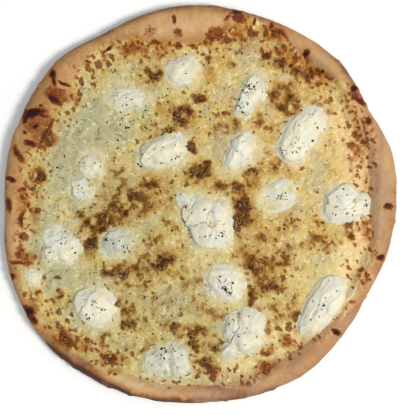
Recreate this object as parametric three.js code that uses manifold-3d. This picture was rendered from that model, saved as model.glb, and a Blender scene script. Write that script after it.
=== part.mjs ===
// White pizza: a hand-stretched crust with a puffy rim, a sheet of melted, toasted cheese,
// and spoonfuls of ricotta with cracked pepper.
// Millimetres, +Z up. The pizza lies on z = 0, with the origin under the middle of its outline.

import * as THREE from "three";
import { mergeVertices } from "three/addons/utils/BufferGeometryUtils.js";
import Module from "manifold-3d";

const wasm = await Module();
wasm.setup();

// ---- Driving dimensions ----

const BASE = 4.5; // thickness of the crust under the cheese
const CHEESE = 3.4; // mean thickness of the melted cheese
const CHEESE_EDGE = 1.5; // thickness of the cheese where it thins out on the rim
const RELIEF = 1.1; // how far the cheese rises and sinks about its mean
const GAP = 0.3; // clearance between pieces that touch
const SLAB_DEPTH = 2; // how far the cheese's blank reaches into the crust before it is cut

// The rim as stretched by hand, every 15 degrees anticlockwise from +X.
const OUTER_RADIUS = [
  197, 199.5, 195, 200.5, 200, 199, 200.5, 199.5, 198, 203.5, 200.5, 198.5,
  194, 200, 204, 206.5, 203.5, 200.5, 197, 197, 198, 194, 190.5, 193,
];
const CROWN_HEIGHT = [
  19, 22, 17, 19, 17, 18, 23, 21, 18, 20, 21, 19,
  18, 17, 16, 15, 17, 19, 18, 19, 21, 19, 17, 18,
];
// Crust left bare, from the outer edge to the edge of the cheese.
const BARE_WIDTH = [
  28, 24, 12, 17, 12, 12, 37, 33, 18, 32, 30, 23,
  20, 17, 13, 18, 20, 18, 17, 18, 24, 19, 13, 16,
];
const LEAST_RIM = 27; // the rim's least width, from the outer edge to its inner foot
const FOOT = 10; // how far the rim's inner foot runs in under the cheese
const CROWN_SHARE = 0.42; // where the crown lies across the rim, and the widest point up it
const RIM_ROUNDNESS = 0.8; // the outer side's fullness: 1 is an ellipse, and less is squarer

// Blisters where the dough puffed and charred: [x, y, length, width, turn in degrees, height].
const BLISTERS = [
  [-163, 85, 24, 24, -10, 4.5],
  [-143, 127, 9, 15, 10, 3.5],
  [-141, 109, 25, 14, -15, 4],
  [-90, 149, 13, 15, -20, 3],
  [-168, 61, 12, 9, -20, 3],
  [-179, 52, 7, 17, 15, 3],
  [-160, 30, 16, 15, 30, 4],
  [-187, 1, 8, 17, -10, 3],
  [-173, -13, 9, 18, -20, 3.5],
  [-187, -68, 12, 8, 10, 3],
  [-166, -105, 16, 17, 30, 4],
  [-21, 171, 12, 10, 0, 3],
  [40, 187, 17, 12, -20, 3.5],
  [84, 171, 9, 13, 20, 3],
  [105, 151, 8, 9, 0, 2.5],
  [153, 117, 9, 11, 30, 3],
  [168, 84, 12, 16, 30, 3.5],
  [186, -2, 11, 7, 10, 2.5],
  [137, -125, 11, 7, -20, 2.5],
];

const BLISTER_SINK = 0.8; // how far a blister's widest level lies in the crust

// Spoonfuls of ricotta, each of one or more lumps: [x, y, length, width, turn in degrees, height].
const DOLLOPS = [
  [[-24, 134, 24, 24, 60, 8], [-13, 137, 28, 24, 70, 10]],
  [[-78, 107, 30, 24, 10, 7], [-66, 109, 24, 19, 0, 6]],
  [[56, 119, 30, 21, 75, 9], [48, 108, 30, 22, 65, 8], [41, 94, 18, 15, 60, 5]],
  [[92, 57, 30, 30, 60, 11], [101, 73, 40, 34, 50, 11], [114, 88, 28, 26, 30, 8]],
  [[42, 58, 32, 27, 80, 11], [32, 45, 19, 16, 60, 8]],
  [[-30, 57, 36, 31, 30, 12], [-46, 51, 32, 26, 25, 10]],
  [[-110, 41, 28, 27, 20, 9]],
  [[-119, 16, 26, 21, -35, 9]],
  [
    [-1, -8, 34, 30, 30, 12],
    [18, -9, 30, 26, 90, 12],
    [5, -28, 30, 26, 100, 11],
    [19, -27, 30, 26, 70, 11],
    [-16, 5, 21, 16, 130, 6],
  ],
  [[73, 7, 33, 22, 10, 5], [84, 15, 18, 14, 0, 4.5]],
  [
    [142, 8, 30, 26, 30, 12],
    [136, -5, 26, 20, 20, 9],
    [149, -3, 24, 22, 0, 9],
    [163, 2, 20, 17, 10, 8],
  ],
  [[-133, -42, 32, 29, 0, 10], [-147, -32, 25, 23, 20, 8], [-148, -48, 20, 16, 20, 7]],
  [[-86, -37, 31, 30, 20, 10]],
  [[24, -77, 41, 35, -15, 12]],
  [[-168, -71, 17, 16, 0, 7]],
  [[-102, -102, 40, 33, 100, 14], [-116, -97, 24, 18, 80, 9]],
  [[132, -90, 38, 32, 50, 13], [121, -104, 34, 28, 55, 12], [111, -118, 24, 20, 40, 9]],
  [
    [50, -116, 30, 28, 100, 10],
    [33, -121, 30, 20, 80, 10],
    [47, -132, 30, 28, 0, 11],
    [31, -145, 22, 16, 30, 7],
  ],
  [[-43, -155, 30, 26, 80, 9], [-24, -155, 36, 28, 100, 11]],
];
const LUMP_SINK = 1.2; // how far the widest level of a lump lies in the cheese
const LUMP_ROUGHNESS = 0.07; // how far a lump's skin wanders, as a share of its radius

const UNDER_SHARE = 0.15; // a lump's or blister's depth under its widest level, of its height

// Cracked pepper: flakes fused to the cheese and to the ricotta.
const FLAKE = new THREE.Vector3(1.5, 1.0, 0.8); // half sizes
const CHEESE_FLAKES = 28;
const FLAKE_CLEARANCE = 5; // from a flake on the cheese to the nearest ricotta
const FLAKE_APART = 20; // from one flake to the next on the cheese
const FLAKE_EDGE = 8; // from a flake to the cheese's edge
const FLAKED_LUMP = 26; // lumps longer than this carry flakes
const FLAKE_REACH = 0.22; // how far out on a lump they lie, as a share of its width
const GOLDEN_ANGLE = Math.PI * (3 - Math.sqrt(5)); // turn from one flake to the next

// How finely the solids are faceted.
const RIM_STEPS = 80;
const CHEESE_STEPS = 32;
const FINE_LUMP = 35; // lumps longer than this get the finer mesh
const FINE_BLISTER = 26; // and so do blisters whose length and width come to more than this

// ---- Shared functions ----

// A seeded random number generator that gives numbers from 0 to 1.
function seeded(seed) {
  let state = seed;
  return () => {
    state = (state * 1664525 + 1013904223) % 4294967296;
    return state / 4294967296;
  };
}

// A smooth closed line through evenly spaced values, read at an angle in radians.
function around(values, angle) {
  const n = values.length;
  const place = ((((angle / (2 * Math.PI)) % 1) + 1) % 1) * n;
  const i = Math.floor(place);
  const t = place - i;
  const [a, b, c, d] = [-1, 0, 1, 2].map((k) => values[(i + k + n) % n]);
  return b + 0.5 * t * (c - a + t * (2 * a - 5 * b + 4 * c - d + t * (3 * (b - c) + d - a)));
}

// Gentle swells from crossing waves, about -1 to 1, with the given wavelength.
function swell(x, y, wavelength) {
  let sum = 0;
  for (let k = 0; k < 5; k++) {
    const turn = 0.7 + k * 2.4;
    const wave = (2 * Math.PI * (1 + 0.17 * k)) / wavelength;
    sum += Math.sin(wave * (x * Math.cos(turn) + y * Math.sin(turn)) + 1.9 * k);
  }
  return sum / 3;
}

function smoothStep(t) {
  const u = Math.min(1, Math.max(0, t));
  return u * u * (3 - 2 * u);
}

// ---- Surfaces ----

const outerRadius = (angle) => around(OUTER_RADIUS, angle);
const cheeseRadius = (angle) => outerRadius(angle) - around(BARE_WIDTH, angle);
const rimWidth = (angle) => Math.max(LEAST_RIM, around(BARE_WIDTH, angle) + FOOT);

// The rim's section at an angle: the crown's distance from the outer edge, and its height.
function rimAt(angle) {
  const width = rimWidth(angle);
  return { width, inset: CROWN_SHARE * width, height: around(CROWN_HEIGHT, angle) };
}

// The outer side of the rim, from the underside at -90 degrees round to the crown at 90.
function rimOutside(angle, degrees) {
  const { inset, height } = rimAt(angle);
  const lift = Math.sin(THREE.MathUtils.degToRad(degrees));
  const bulge = Math.cos(THREE.MathUtils.degToRad(degrees)) ** RIM_ROUNDNESS;
  const middle = CROWN_SHARE * height;
  const z = lift < 0 ? middle * (1 + lift) : middle + (height - middle) * lift;
  return [outerRadius(angle) - inset * (1 - bulge), z];
}

// The rim's inner side, from the crown at 0 down to the foot under the cheese at 1.
function rimInside(angle, share) {
  const { width, inset, height } = rimAt(angle);
  const r = outerRadius(angle) - inset - share * (width - inset);
  return [r, BASE + (height - BASE) * (1 - smoothStep(share))];
}

// Height of the crust's top inside the crown.
function crustTop(x, y) {
  const angle = Math.atan2(y, x);
  const { width, inset } = rimAt(angle);
  const share = (outerRadius(angle) - inset - Math.hypot(x, y)) / (width - inset);
  return rimInside(angle, Math.min(1, Math.max(0, share)))[1];
}

// Height of the cheese's top: level with swells in the middle, thinning out up the rim.
function cheeseTop(x, y) {
  const level = BASE + CHEESE + RELIEF * (0.6 * swell(x, y, 62) + 0.4 * swell(y, x, 27));
  const inward = cheeseRadius(Math.atan2(y, x)) - Math.hypot(x, y);
  const film = CHEESE_EDGE * (0.7 + 0.3 * smoothStep(inward / 12)) + 0.4 * swell(x, y, 31) ** 2;
  return Math.max(level, crustTop(x, y) + GAP + film);
}

// ---- Solids ----

function toSolid(geometry) {
  const bare = geometry.clone();
  bare.deleteAttribute("normal");
  bare.deleteAttribute("uv");
  const merged = mergeVertices(bare, 1e-3);
  return new wasm.Manifold(
    new wasm.Mesh({
      numProp: 3,
      vertProperties: new Float32Array(merged.attributes.position.array),
      triVerts: new Uint32Array(merged.index.array),
    }),
  );
}

function toGeometry(solid) {
  const { vertProperties, triVerts } = solid.getMesh();
  const geometry = new THREE.BufferGeometry();
  geometry.setAttribute("position", new THREE.BufferAttribute(vertProperties, 3));
  geometry.setIndex(new THREE.BufferAttribute(triVerts, 1));
  geometry.computeVertexNormals();
  return geometry;
}

// A closed skin over rings of equally many points, from a first pole to a last one.
// The rings run anticlockwise, and go outwards underneath and back inwards on top.
function ringSkin(first, rings, last) {
  const count = rings[0].length;
  const points = [first, ...rings.flat(), last];
  const faces = [];
  for (let i = 0; i < count; i++) {
    const j = (i + 1) % count;
    const end = 1 + (rings.length - 1) * count;
    faces.push(0, 1 + j, 1 + i);
    faces.push(points.length - 1, end + i, end + j);
    for (let k = 0; k < rings.length - 1; k++) {
      const a = 1 + k * count;
      const b = a + count;
      faces.push(a + i, a + j, b + j, a + i, b + j, b + i);
    }
  }
  const geometry = new THREE.BufferGeometry();
  geometry.setAttribute("position", new THREE.Float32BufferAttribute(points.flat(), 3));
  geometry.setIndex(faces);
  return geometry;
}

// The dough: flat underneath, a puffed rim all round, and a floor for the cheese.
function doughSolid() {
  const outside = [-90, -60, -32, -6, 20, 45, 68, 90].map((d) => (a) => rimOutside(a, d));
  const inside = [0.25, 0.5, 0.75, 1].map((s) => (a) => rimInside(a, s));
  const angles = Array.from({ length: RIM_STEPS }, (_, i) => (i * 2 * Math.PI) / RIM_STEPS);
  const rings = [...outside, ...inside].map((section) =>
    angles.map((angle) => {
      const [r, z] = section(angle);
      return [r * Math.cos(angle), r * Math.sin(angle), z];
    }),
  );
  return toSolid(ringSkin([0, 0, 0], rings, [0, 0, BASE]));
}

// Height of the crust's top anywhere, the rim's outer side included.
function rimTop(x, y) {
  const angle = Math.atan2(y, x);
  const { inset } = rimAt(angle);
  const inward = outerRadius(angle) - Math.hypot(x, y);
  if (inward >= inset) return crustTop(x, y);
  const bulge = 1 - Math.max(0, inward) / inset;
  return rimOutside(angle, THREE.MathUtils.radToDeg(Math.acos(bulge ** (1 / RIM_ROUNDNESS))))[1];
}

// Makes the lower half of a ball shallow.
function flattenUnder(ball, share) {
  const { position } = ball.attributes;
  for (let i = 0; i < position.count; i++) {
    if (position.getZ(i) < 0) position.setZ(i, position.getZ(i) * share);
  }
}

// A puffed blister standing on the dough, grown by a clearance on all sides.
function blisterSolid([x, y, length, width, turn, height], clearance) {
  const dome =
    length + width > FINE_BLISTER
      ? new THREE.IcosahedronGeometry(1, 1)
      : new THREE.OctahedronGeometry(1, 1);
  const top = height + clearance;
  flattenUnder(dome, (height * UNDER_SHARE + clearance) / top);
  dome.scale(length / 2 + clearance, width / 2 + clearance, top);
  dome.rotateZ(THREE.MathUtils.degToRad(turn));
  dome.translate(x, y, rimTop(x, y) - BLISTER_SINK);
  return toSolid(dome);
}

// All that lies under the cheese's top, down to a level inside the crust.
function cheeseSlab() {
  const n = CHEESE_STEPS;
  const points = [];
  const faces = [];
  const at = (i, j) => i * (n + 1) + j;
  for (let i = 0; i <= n; i++) {
    for (let j = 0; j <= n; j++) {
      const [share, angle] = squareToDisc((2 * i) / n - 1, (2 * j) / n - 1);
      const r = share * cheeseRadius(angle);
      const [x, y] = [r * Math.cos(angle), r * Math.sin(angle)];
      points.push([x, y, cheeseTop(x, y)]);
    }
  }
  for (let i = 0; i < n; i++) {
    for (let j = 0; j < n; j++) {
      const [a, b, c, d] = [at(i, j), at(i + 1, j), at(i + 1, j + 1), at(i, j + 1)];
      const splitsAlongAC = i < n / 2 === j < n / 2; // each square is split on its line to the middle
      faces.push(...(splitsAlongAC ? [a, b, c, a, c, d] : [a, b, d, b, c, d]));
    }
  }
  const edge = [];
  for (let k = 0; k < n; k++) edge.push(at(k, 0));
  for (let k = 0; k < n; k++) edge.push(at(n, k));
  for (let k = n; k > 0; k--) edge.push(at(k, n));
  for (let k = n; k > 0; k--) edge.push(at(0, k));
  const below = points.length;
  edge.forEach((p) => points.push([points[p][0], points[p][1], BASE - SLAB_DEPTH]));
  const middle = points.push([0, 0, BASE - SLAB_DEPTH]) - 1;
  edge.forEach((p, i) => {
    const next = (i + 1) % edge.length;
    faces.push(p, below + i, edge[next], edge[next], below + i, below + next);
    faces.push(middle, below + next, below + i);
  });
  const geometry = new THREE.BufferGeometry();
  geometry.setAttribute("position", new THREE.Float32BufferAttribute(points.flat(), 3));
  geometry.setIndex(faces);
  return toSolid(geometry);
}

// Carries a square of -1 to 1 onto a disc with even spacing: the share of the radius, and the angle.
function squareToDisc(u, v) {
  if (u === 0 && v === 0) return [0, 0];
  if (Math.abs(u) > Math.abs(v)) {
    return [Math.abs(u), (Math.PI / 4) * (v / u) + (u < 0 ? Math.PI : 0)];
  }
  return [Math.abs(v), Math.PI / 2 - (Math.PI / 4) * (u / v) + (v < 0 ? Math.PI : 0)];
}

// One lump of ricotta: a dome with an uneven skin and a shallow underside.
function lumpSolid([x, y, length, width, turn, height]) {
  const lump = new THREE.IcosahedronGeometry(1, length > FINE_LUMP ? 2 : 1);
  const { position } = lump.attributes;
  const point = new THREE.Vector3();
  for (let i = 0; i < position.count; i++) {
    point.fromBufferAttribute(position, i);
    const wander = swell(point.x * 3 + x, point.y * 3 + y + point.z * 2, 4);
    point.multiplyScalar(1 + LUMP_ROUGHNESS * wander);
    position.setXYZ(i, point.x, point.y, point.z);
  }
  flattenUnder(lump, UNDER_SHARE);
  lump.scale(length / 2, width / 2, height);
  lump.rotateZ(THREE.MathUtils.degToRad(turn));
  lump.translate(x, y, cheeseTop(x, y) - LUMP_SINK);
  return toSolid(lump);
}

// A flake of pepper half sunk in a surface at x, y.
function flakeSolid(surface, x, y, turn) {
  const ray = new THREE.Raycaster(new THREE.Vector3(x, y, 100), new THREE.Vector3(0, 0, -1));
  const [hit] = ray.intersectObject(surface);
  if (!hit) return null;
  const flake = new THREE.OctahedronGeometry(1);
  flake.scale(FLAKE.x, FLAKE.y, FLAKE.z);
  flake.rotateZ(turn);
  flake.translate(x, y, hit.point.z);
  return toSolid(flake);
}

function withFlakes(solid, places) {
  const surface = new THREE.Mesh(toGeometry(solid));
  const flakes = places.map(([x, y], i) => flakeSolid(surface, x, y, i * GOLDEN_ANGLE));
  return flakes.filter(Boolean).reduce((all, flake) => all.add(flake), solid);
}

// Places for flakes on the cheese: at random, clear of the ricotta and of each other.
function cheeseFlakePlaces() {
  const random = seeded(7);
  const lumps = DOLLOPS.flat();
  const places = [];
  while (places.length < CHEESE_FLAKES) {
    const angle = 2 * Math.PI * random();
    const r = Math.sqrt(random()) * (cheeseRadius(angle) - FLAKE_EDGE);
    const [x, y] = [r * Math.cos(angle), r * Math.sin(angle)];
    const clear = (px, py, distance) => Math.hypot(x - px, y - py) > distance;
    if (
      lumps.every(([px, py, length]) => clear(px, py, length / 2 + FLAKE_CLEARANCE)) &&
      places.every(([px, py]) => clear(px, py, FLAKE_APART))
    ) {
      places.push([x, y]);
    }
  }
  return places;
}

// Places for flakes on a spoonful: a turn of them round the top of each large lump.
function dollopFlakePlaces(lumps) {
  return lumps.flatMap(([x, y, length, width, turn], i) => {
    if (length < FLAKED_LUMP) return [];
    return [0, 1].map((k) => {
      const angle = THREE.MathUtils.degToRad(turn) + i + k * GOLDEN_ANGLE;
      return [x + FLAKE_REACH * width * Math.cos(angle), y + FLAKE_REACH * width * Math.sin(angle)];
    });
  });
}

function pad(number) {
  return String(number).padStart(2, "0");
}

// ---- The pizza ----

const MATERIALS = {
  crust: new THREE.MeshStandardMaterial({ color: 0xd2a26c, roughness: 0.8, metalness: 0 }),
  cheese: new THREE.MeshStandardMaterial({ color: 0xd8bd80, roughness: 0.45, metalness: 0 }),
  ricotta: new THREE.MeshStandardMaterial({ color: 0xece8d8, roughness: 0.6, metalness: 0 }),
};

function addPiece(name, solid, material) {
  const mesh = new THREE.Mesh(toGeometry(solid), material);
  mesh.name = name;
  pizza.add(mesh);
}

const pizza = new THREE.Group();
const withBlisters = (solid, clearance) =>
  BLISTERS.reduce((all, blister) => all.add(blisterSolid(blister, clearance)), solid);
const dough = doughSolid();
const crust = withBlisters(dough, 0);
const slab = cheeseSlab();
const underCheese = withBlisters(dough.translate([0, 0, GAP]), GAP);
const underRicotta = slab.translate([0, 0, GAP]).add(underCheese);

addPiece("crust", crust, MATERIALS.crust);
addPiece("cheese", withFlakes(slab.subtract(underCheese), cheeseFlakePlaces()), MATERIALS.cheese);
DOLLOPS.forEach((lumps, i) => {
  const whole = lumps.map(lumpSolid).reduce((all, lump) => all.add(lump));
  const dollop = withFlakes(whole.subtract(underRicotta), dollopFlakePlaces(lumps));
  addPiece(`ricotta_${pad(i + 1)}`, dollop, MATERIALS.ricotta);
});

// The origin comes under the middle of the outline.
const outline = new THREE.Box3().setFromObject(pizza);
pizza.position.set(-(outline.min.x + outline.max.x) / 2, -(outline.min.y + outline.max.y) / 2, 0);

export default pizza;
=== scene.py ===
"""White pizza: a hand-stretched crust, melted and toasted cheese, spoonfuls of ricotta, cracked pepper.

Lengths are in millimetres until a mesh is made. The tables and the surfaces under "The pizza's form"
repeat those of the CAD model, and everything else is relief and colour on top of them.
"""
import math

import bmesh
import bpy
import numpy as np
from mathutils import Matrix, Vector
from mathutils.bvhtree import BVHTree


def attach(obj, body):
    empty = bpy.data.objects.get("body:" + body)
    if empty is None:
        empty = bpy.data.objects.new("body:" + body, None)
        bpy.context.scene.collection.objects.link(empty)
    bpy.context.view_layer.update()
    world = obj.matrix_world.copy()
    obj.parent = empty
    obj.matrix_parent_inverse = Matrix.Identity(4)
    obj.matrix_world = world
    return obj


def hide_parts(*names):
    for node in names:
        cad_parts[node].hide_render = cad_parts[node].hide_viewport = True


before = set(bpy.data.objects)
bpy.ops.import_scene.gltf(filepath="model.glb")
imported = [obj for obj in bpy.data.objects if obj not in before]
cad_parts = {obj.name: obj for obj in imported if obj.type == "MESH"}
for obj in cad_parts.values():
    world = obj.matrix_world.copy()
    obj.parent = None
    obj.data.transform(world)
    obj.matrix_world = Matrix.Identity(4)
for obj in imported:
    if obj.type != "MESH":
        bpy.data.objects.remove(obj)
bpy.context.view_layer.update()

MM = 0.001
SHIFT = np.array([-1.32, -1.632, 0.0])  # puts the origin under the middle of the outline, as the CAD does

# ---- The pizza's form, as in the CAD model ----

BASE = 4.5  # thickness of the crust under the cheese
CHEESE = 3.4  # mean thickness of the melted cheese
CHEESE_EDGE = 1.5  # thickness of the cheese where it thins out on the rim
CHEESE_LEAST = 0.4  # the least thickness of its thin edge
RELIEF = 1.1  # how far the cheese rises and sinks about its mean
GAP = 0.3  # clearance between pieces that touch
BURIED = 2.2  # how deep the thin edge of the cheese dips into the crust
FILLET = 7.0  # how high up the rim the cheese fills its foot

# The rim as stretched by hand, every 15 degrees anticlockwise from +X.
OUTER_RADIUS = [
    197, 199.5, 195, 200.5, 200, 199, 200.5, 199.5, 198, 203.5, 200.5, 198.5,
    194, 200, 204, 206.5, 203.5, 200.5, 197, 197, 198, 194, 190.5, 193,
]
CROWN_HEIGHT = [
    19, 22, 17, 19, 17, 18, 23, 21, 18, 20, 21, 19,
    18, 17, 16, 15, 17, 19, 18, 19, 21, 19, 17, 18,
]
BARE_WIDTH = [
    28, 24, 12, 17, 12, 12, 37, 33, 18, 32, 30, 23,
    20, 17, 13, 18, 20, 18, 17, 18, 24, 19, 13, 16,
]
LEAST_RIM = 27  # the rim's least width, from the outer edge to its inner foot
FOOT = 10  # how far the rim's inner foot runs in under the cheese
CROWN_SHARE = 0.42  # where the crown lies across the rim, and the widest point up it
HIGHEST = 24.8  # no part of the crust rises above this
RIM_ROUNDNESS = 0.8  # the outer side's fullness: 1 is an ellipse, and less is squarer

# Blisters where the dough puffed and charred: [x, y, length, width, turn in degrees, height].
BLISTERS = [
    [-163, 85, 24, 24, -10, 4.5], [-143, 127, 9, 15, 10, 3.5], [-141, 109, 25, 14, -15, 4],
    [-90, 149, 13, 15, -20, 3], [-168, 61, 12, 9, -20, 3], [-179, 52, 7, 17, 15, 3],
    [-160, 30, 16, 15, 30, 4], [-187, 1, 8, 17, -10, 3], [-173, -13, 9, 18, -20, 3.5],
    [-187, -68, 12, 8, 10, 3], [-166, -105, 16, 17, 30, 4], [-21, 171, 12, 10, 0, 3],
    [40, 187, 17, 12, -20, 3.5], [84, 171, 9, 13, 20, 3], [105, 151, 8, 9, 0, 2.5],
    [153, 117, 9, 11, 30, 3], [168, 84, 12, 16, 30, 3.5], [186, -2, 11, 7, 10, 2.5],
    [137, -125, 11, 7, -20, 2.5],
]
BLISTER_SINK = 0.8  # how far a blister's widest level lies in the crust

# Spoonfuls of ricotta, each of one or more lumps: [x, y, length, width, turn in degrees, height].
DOLLOPS = [
    [[-24, 134, 24, 24, 60, 8], [-13, 137, 28, 24, 70, 10]],
    [[-78, 107, 30, 24, 10, 7], [-66, 109, 24, 19, 0, 6]],
    [[56, 119, 30, 21, 75, 9], [48, 108, 30, 22, 65, 8], [41, 94, 18, 15, 60, 5]],
    [[92, 57, 30, 30, 60, 11], [101, 73, 40, 34, 50, 11], [114, 88, 28, 26, 30, 8]],
    [[42, 58, 32, 27, 80, 11], [32, 45, 19, 16, 60, 8]],
    [[-30, 57, 36, 31, 30, 12], [-46, 51, 32, 26, 25, 10]],
    [[-110, 41, 28, 27, 20, 9]],
    [[-119, 16, 26, 21, -35, 9]],
    [
        [-1, -8, 34, 30, 30, 12], [18, -9, 30, 26, 90, 12], [5, -28, 30, 26, 100, 11],
        [19, -27, 30, 26, 70, 11], [-16, 5, 21, 16, 130, 6],
    ],
    [[73, 7, 33, 22, 10, 5], [84, 15, 18, 14, 0, 4.5]],
    [[142, 8, 30, 26, 30, 12], [136, -5, 26, 20, 20, 9], [149, -3, 24, 22, 0, 9], [163, 2, 20, 17, 10, 8]],
    [[-133, -42, 32, 29, 0, 10], [-147, -32, 25, 23, 20, 8], [-148, -48, 20, 16, 20, 7]],
    [[-86, -37, 31, 30, 20, 10]],
    [[24, -77, 41, 35, -15, 12]],
    [[-168, -71, 17, 16, 0, 7]],
    [[-102, -102, 40, 33, 100, 14], [-116, -97, 24, 18, 80, 9]],
    [[132, -90, 38, 32, 50, 13], [121, -104, 34, 28, 55, 12], [111, -118, 24, 20, 40, 9]],
    [
        [50, -116, 30, 28, 100, 10], [33, -121, 30, 20, 80, 10], [47, -132, 30, 28, 0, 11],
        [31, -145, 22, 16, 30, 7],
    ],
    [[-43, -155, 30, 26, 80, 9], [-24, -155, 36, 28, 100, 11]],
]
DULLNESS = [  # how far each spoonful has sunk, browned and dulled in the oven
    0.1, 0.25, 0.2, 0.0, 0.1, 0.1, 0.3, 0.3, 0.2, 0.15, 0.05, 0.2, 0.85, 0.05, 0.2, 0.0, 0.05, 0.3, 0.5,
]
SPREAD = [  # how much further than its lumps each spoonful spreads, in millimetres
    -0.5, 0, 0, 0, 0, 0, 0, 0, -0.5, 4, 1.5, 0, 0, 1, 0, 0.5, 3, 0, 0.5,
]
LUMP_SINK = 1.2  # how far the widest level of a lump lies in the cheese
NECK = 5.0  # how widely lumps of a spoonful run together
LUMP_WANDER = 0.07  # how uneven a lump is, as a share of its radius
LUMP_UNDERSIDE = 0.35  # how deep a lump reaches below its widest level, as a share of its height
LUMPS = [lump for dollop in DOLLOPS for lump in dollop]

# ---- Fineness of the meshes ----

RIM_ANGLES = 1180  # columns round the crust
OUTSIDE_RINGS = 40
INSIDE_RINGS = 30
CHEESE_STEPS = 280  # squares along each side of the cheese's grid
CHEESE_UNDER_RINGS = (1, 0.99, 0.975, 0.96, 0.945, 0.93, 0.91, 0.89, 0.86, 0.7, 0.35)  # shares of its radius
LUMP_VOXEL = 0.75
SOLE_SHARES = (0.5, 0.85, 0.96)  # rings of the crust's sole, as shares of its radius
FLOOR_SHARES = (0.97, 0.8, 0.4)  # rings of its floor under the cheese
CHEESE_OVERLAP = 2.5  # how far the cheese's grid runs past its edge

# ---- Relief and mottling: [height, width of the bumps, octaves, seed] ----

CRUST_RELIEF = ((1.1, 40, 2, 101), (0.8, 14, 2, 111), (0.16, 5, 2, 121), (0.05, 1.8, 1, 131))
CHEESE_RELIEF = ((1.1, 10, 2, 211), (0.55, 4.6, 2, 221))
SKIRT_RELIEF = ((0.9, 7, 2, 311), (0.5, 3, 1, 312))
CURD_RELIEF = ((0.45, 6, 2, 291), (0.08, 1.6, 1, 301))
BAKE_MOTTLE = ((0.26, 46, 3, 181), (0.14, 9, 3, 191))
GOLDEN_MOTTLE = ((0.36, 24, 3, 5), (0.20, 8, 3, 41))
BROWN_MOTTLE = ((1.5, 7.5, 3, 45),)
PUFF_SPACING = 13  # small bubbles of the crust
PUFF_HEIGHT = 0.9
CHAR_LIP = 1.5  # how high the dough stands round a charred mark
CHAR_SINK = 2.2  # how deep the mark itself sinks

# ---- Where things brown: [x, y, length, width, turn in degrees, strength] ----

BROWN = [
    [-20, 91, 25, 15, -10, 0.95], [1, 109, 10, 11, 0, 0.8], [12, 142, 13, 14, 0, 0.85],
    [35, 171, 54, 20, -12, 0.55], [13, 170, 13, 11, 0, 0.8], [-51, 164, 34, 26, -30, 0.8],
    [-48, 130, 12, 19, 90, 0.95], [-70, 158, 14, 10, 20, 0.7], [98, 139, 44, 20, -27, 1.15],
    [122, 128, 40, 12, -30, 0.2], [73, 172, 18, 16, 0, 0.9], [87, 106, 36, 23, -10, 0.8],
    [90, 110, 14, 10, -20, 0.95], [-156, 74, 32, 36, 0, 0.8], [-161, 30, 14, 13, 0, 0.95],
    [-170, -5, 22, 34, 10, 0.4], [-110, -31, 18, 34, 0, 1.15], [-92, -16, 30, 20, 40, 0.9],
    [-76, -2, 36, 27, 25, 0.9], [-56, 10, 36, 31, 30, 0.72], [-35, 20, 16, 12, 0, 0.4],
    [-70, -68, 30, 20, 0, 0.9], [-91, -67, 20, 14, 0, 0.65], [-85, -83, 13, 13, 0, 0.65],
    [-42, -57, 34, 20, 0, 0.82], [-47, -34, 13, 15, 0, 0.75], [-35, -18, 8, 9, 0, 0.9],
    [44, -7, 20, 24, 10, 1.3], [-2, 34, 25, 17, 30, 0.85], [30, 19, 28, 14, -20, 0.85],
    [52, 34, 11, 9, 0, 1.0], [50, 24, 10, 10, 0, 0.9], [60, -60, 32, 24, -40, 0.85],
    [68, -77, 22, 19, 0, 0.75], [-4, -129, 27, 20, 0, 1.0], [-25, -118, 12, 10, 0, 1.0],
    [-136, -131, 32, 16, -35, 1.0], [-112, -137, 34, 15, -20, 0.35], [-93, -132, 14, 15, 0, 0.6],
    [-86, -153, 17, 10, 0, 0.95], [68, -145, 13, 13, 0, 1.05], [88, -137, 12, 10, 0, 0.5],
    [67, -161, 19, 10, 0, 0.5], [117, -34, 14, 10, 10, 0.8], [154, -24, 22, 16, -30, 0.6],
    [157, 58, 16, 50, 0, 0.4], [165, -72, 12, 18, 0, 0.7], [82, -53, 19, 14, 0, 0.65],
    [89, -20, 12, 14, 0, 0.5], [33, 156, 12, 7, 0, 0.5], [33, 142, 8, 8, 0, 0.5], [66, 151, 10, 14, 0, 0.9],
    [64, 84, 14, 20, 0, 0.35], [-7, 60, 16, 10, 0, 0.8], [-140, -72, 9, 6, 0, 0.5],
    [-140, -89, 9, 8, 0, 0.75], [-71, -113, 19, 17, 0, 0.7], [9, -159, 20, 11, -50, 0.85],
    [74, -107, 10, 14, 0, 0.5], [93, -87, 12, 10, 0, 0.2], [100, -40, 30, 9, 15, 0.4],
    [60, -35, 24, 16, 0, 0.4], [-120, -10, 17, 12, 0, 0.6], [-130, -98, 12, 8, 0, 0.3],
    [120, 95, 20, 16, 0, 0.6], [30, 75, 30, 22, 0, 0.55], [25, 100, 26, 18, 20, 0.25],
    [75, 40, 26, 18, 0, 0.45], [130, 30, 24, 14, 0, 0.1], [100, -10, 34, 18, 0, 0.2],
    [135, -40, 26, 9, 10, 0.35], [10, -105, 30, 18, 0, 0.45], [-60, -140, 26, 16, 0, 0.5],
    [-172, 8, 18, 44, 0, 0.45], [-172, -46, 12, 36, 0, 0.35], [-30, -98, 66, 40, 0, 0.3],
    [-30, 80, 30, 14, 10, 0.8], [-84, 36, 24, 18, 60, 0.45], [36, -14, 12, 34, 5, 1.0],
    [-4, -150, 26, 26, 0, 0.5], [101, -114, 18, 20, 0, 0.8], [-129, 108, 18, 12, -30, 0.6],
    [-9, -144, 18, 18, 0, 1.0], [16, -140, 16, 16, 0, 0.8], [-4, -168, 20, 10, 0, 0.5],
    [-74, 22, 16, 14, 0, 0.5], [-34, -14, 20, 18, 0, 0.5], [56, -96, 18, 20, 0, 0.6],
    [52, -82, 12, 22, 0, 0.7], [-80, -92, 20, 22, 0, 0.6], [72, -119, 16, 16, 0, 0.5],
    [-100, 10, 40, 30, 20, 0.3], [-20, -75, 90, 30, 0, 0.3], [60, -95, 30, 30, 0, 0.15],
]
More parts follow.
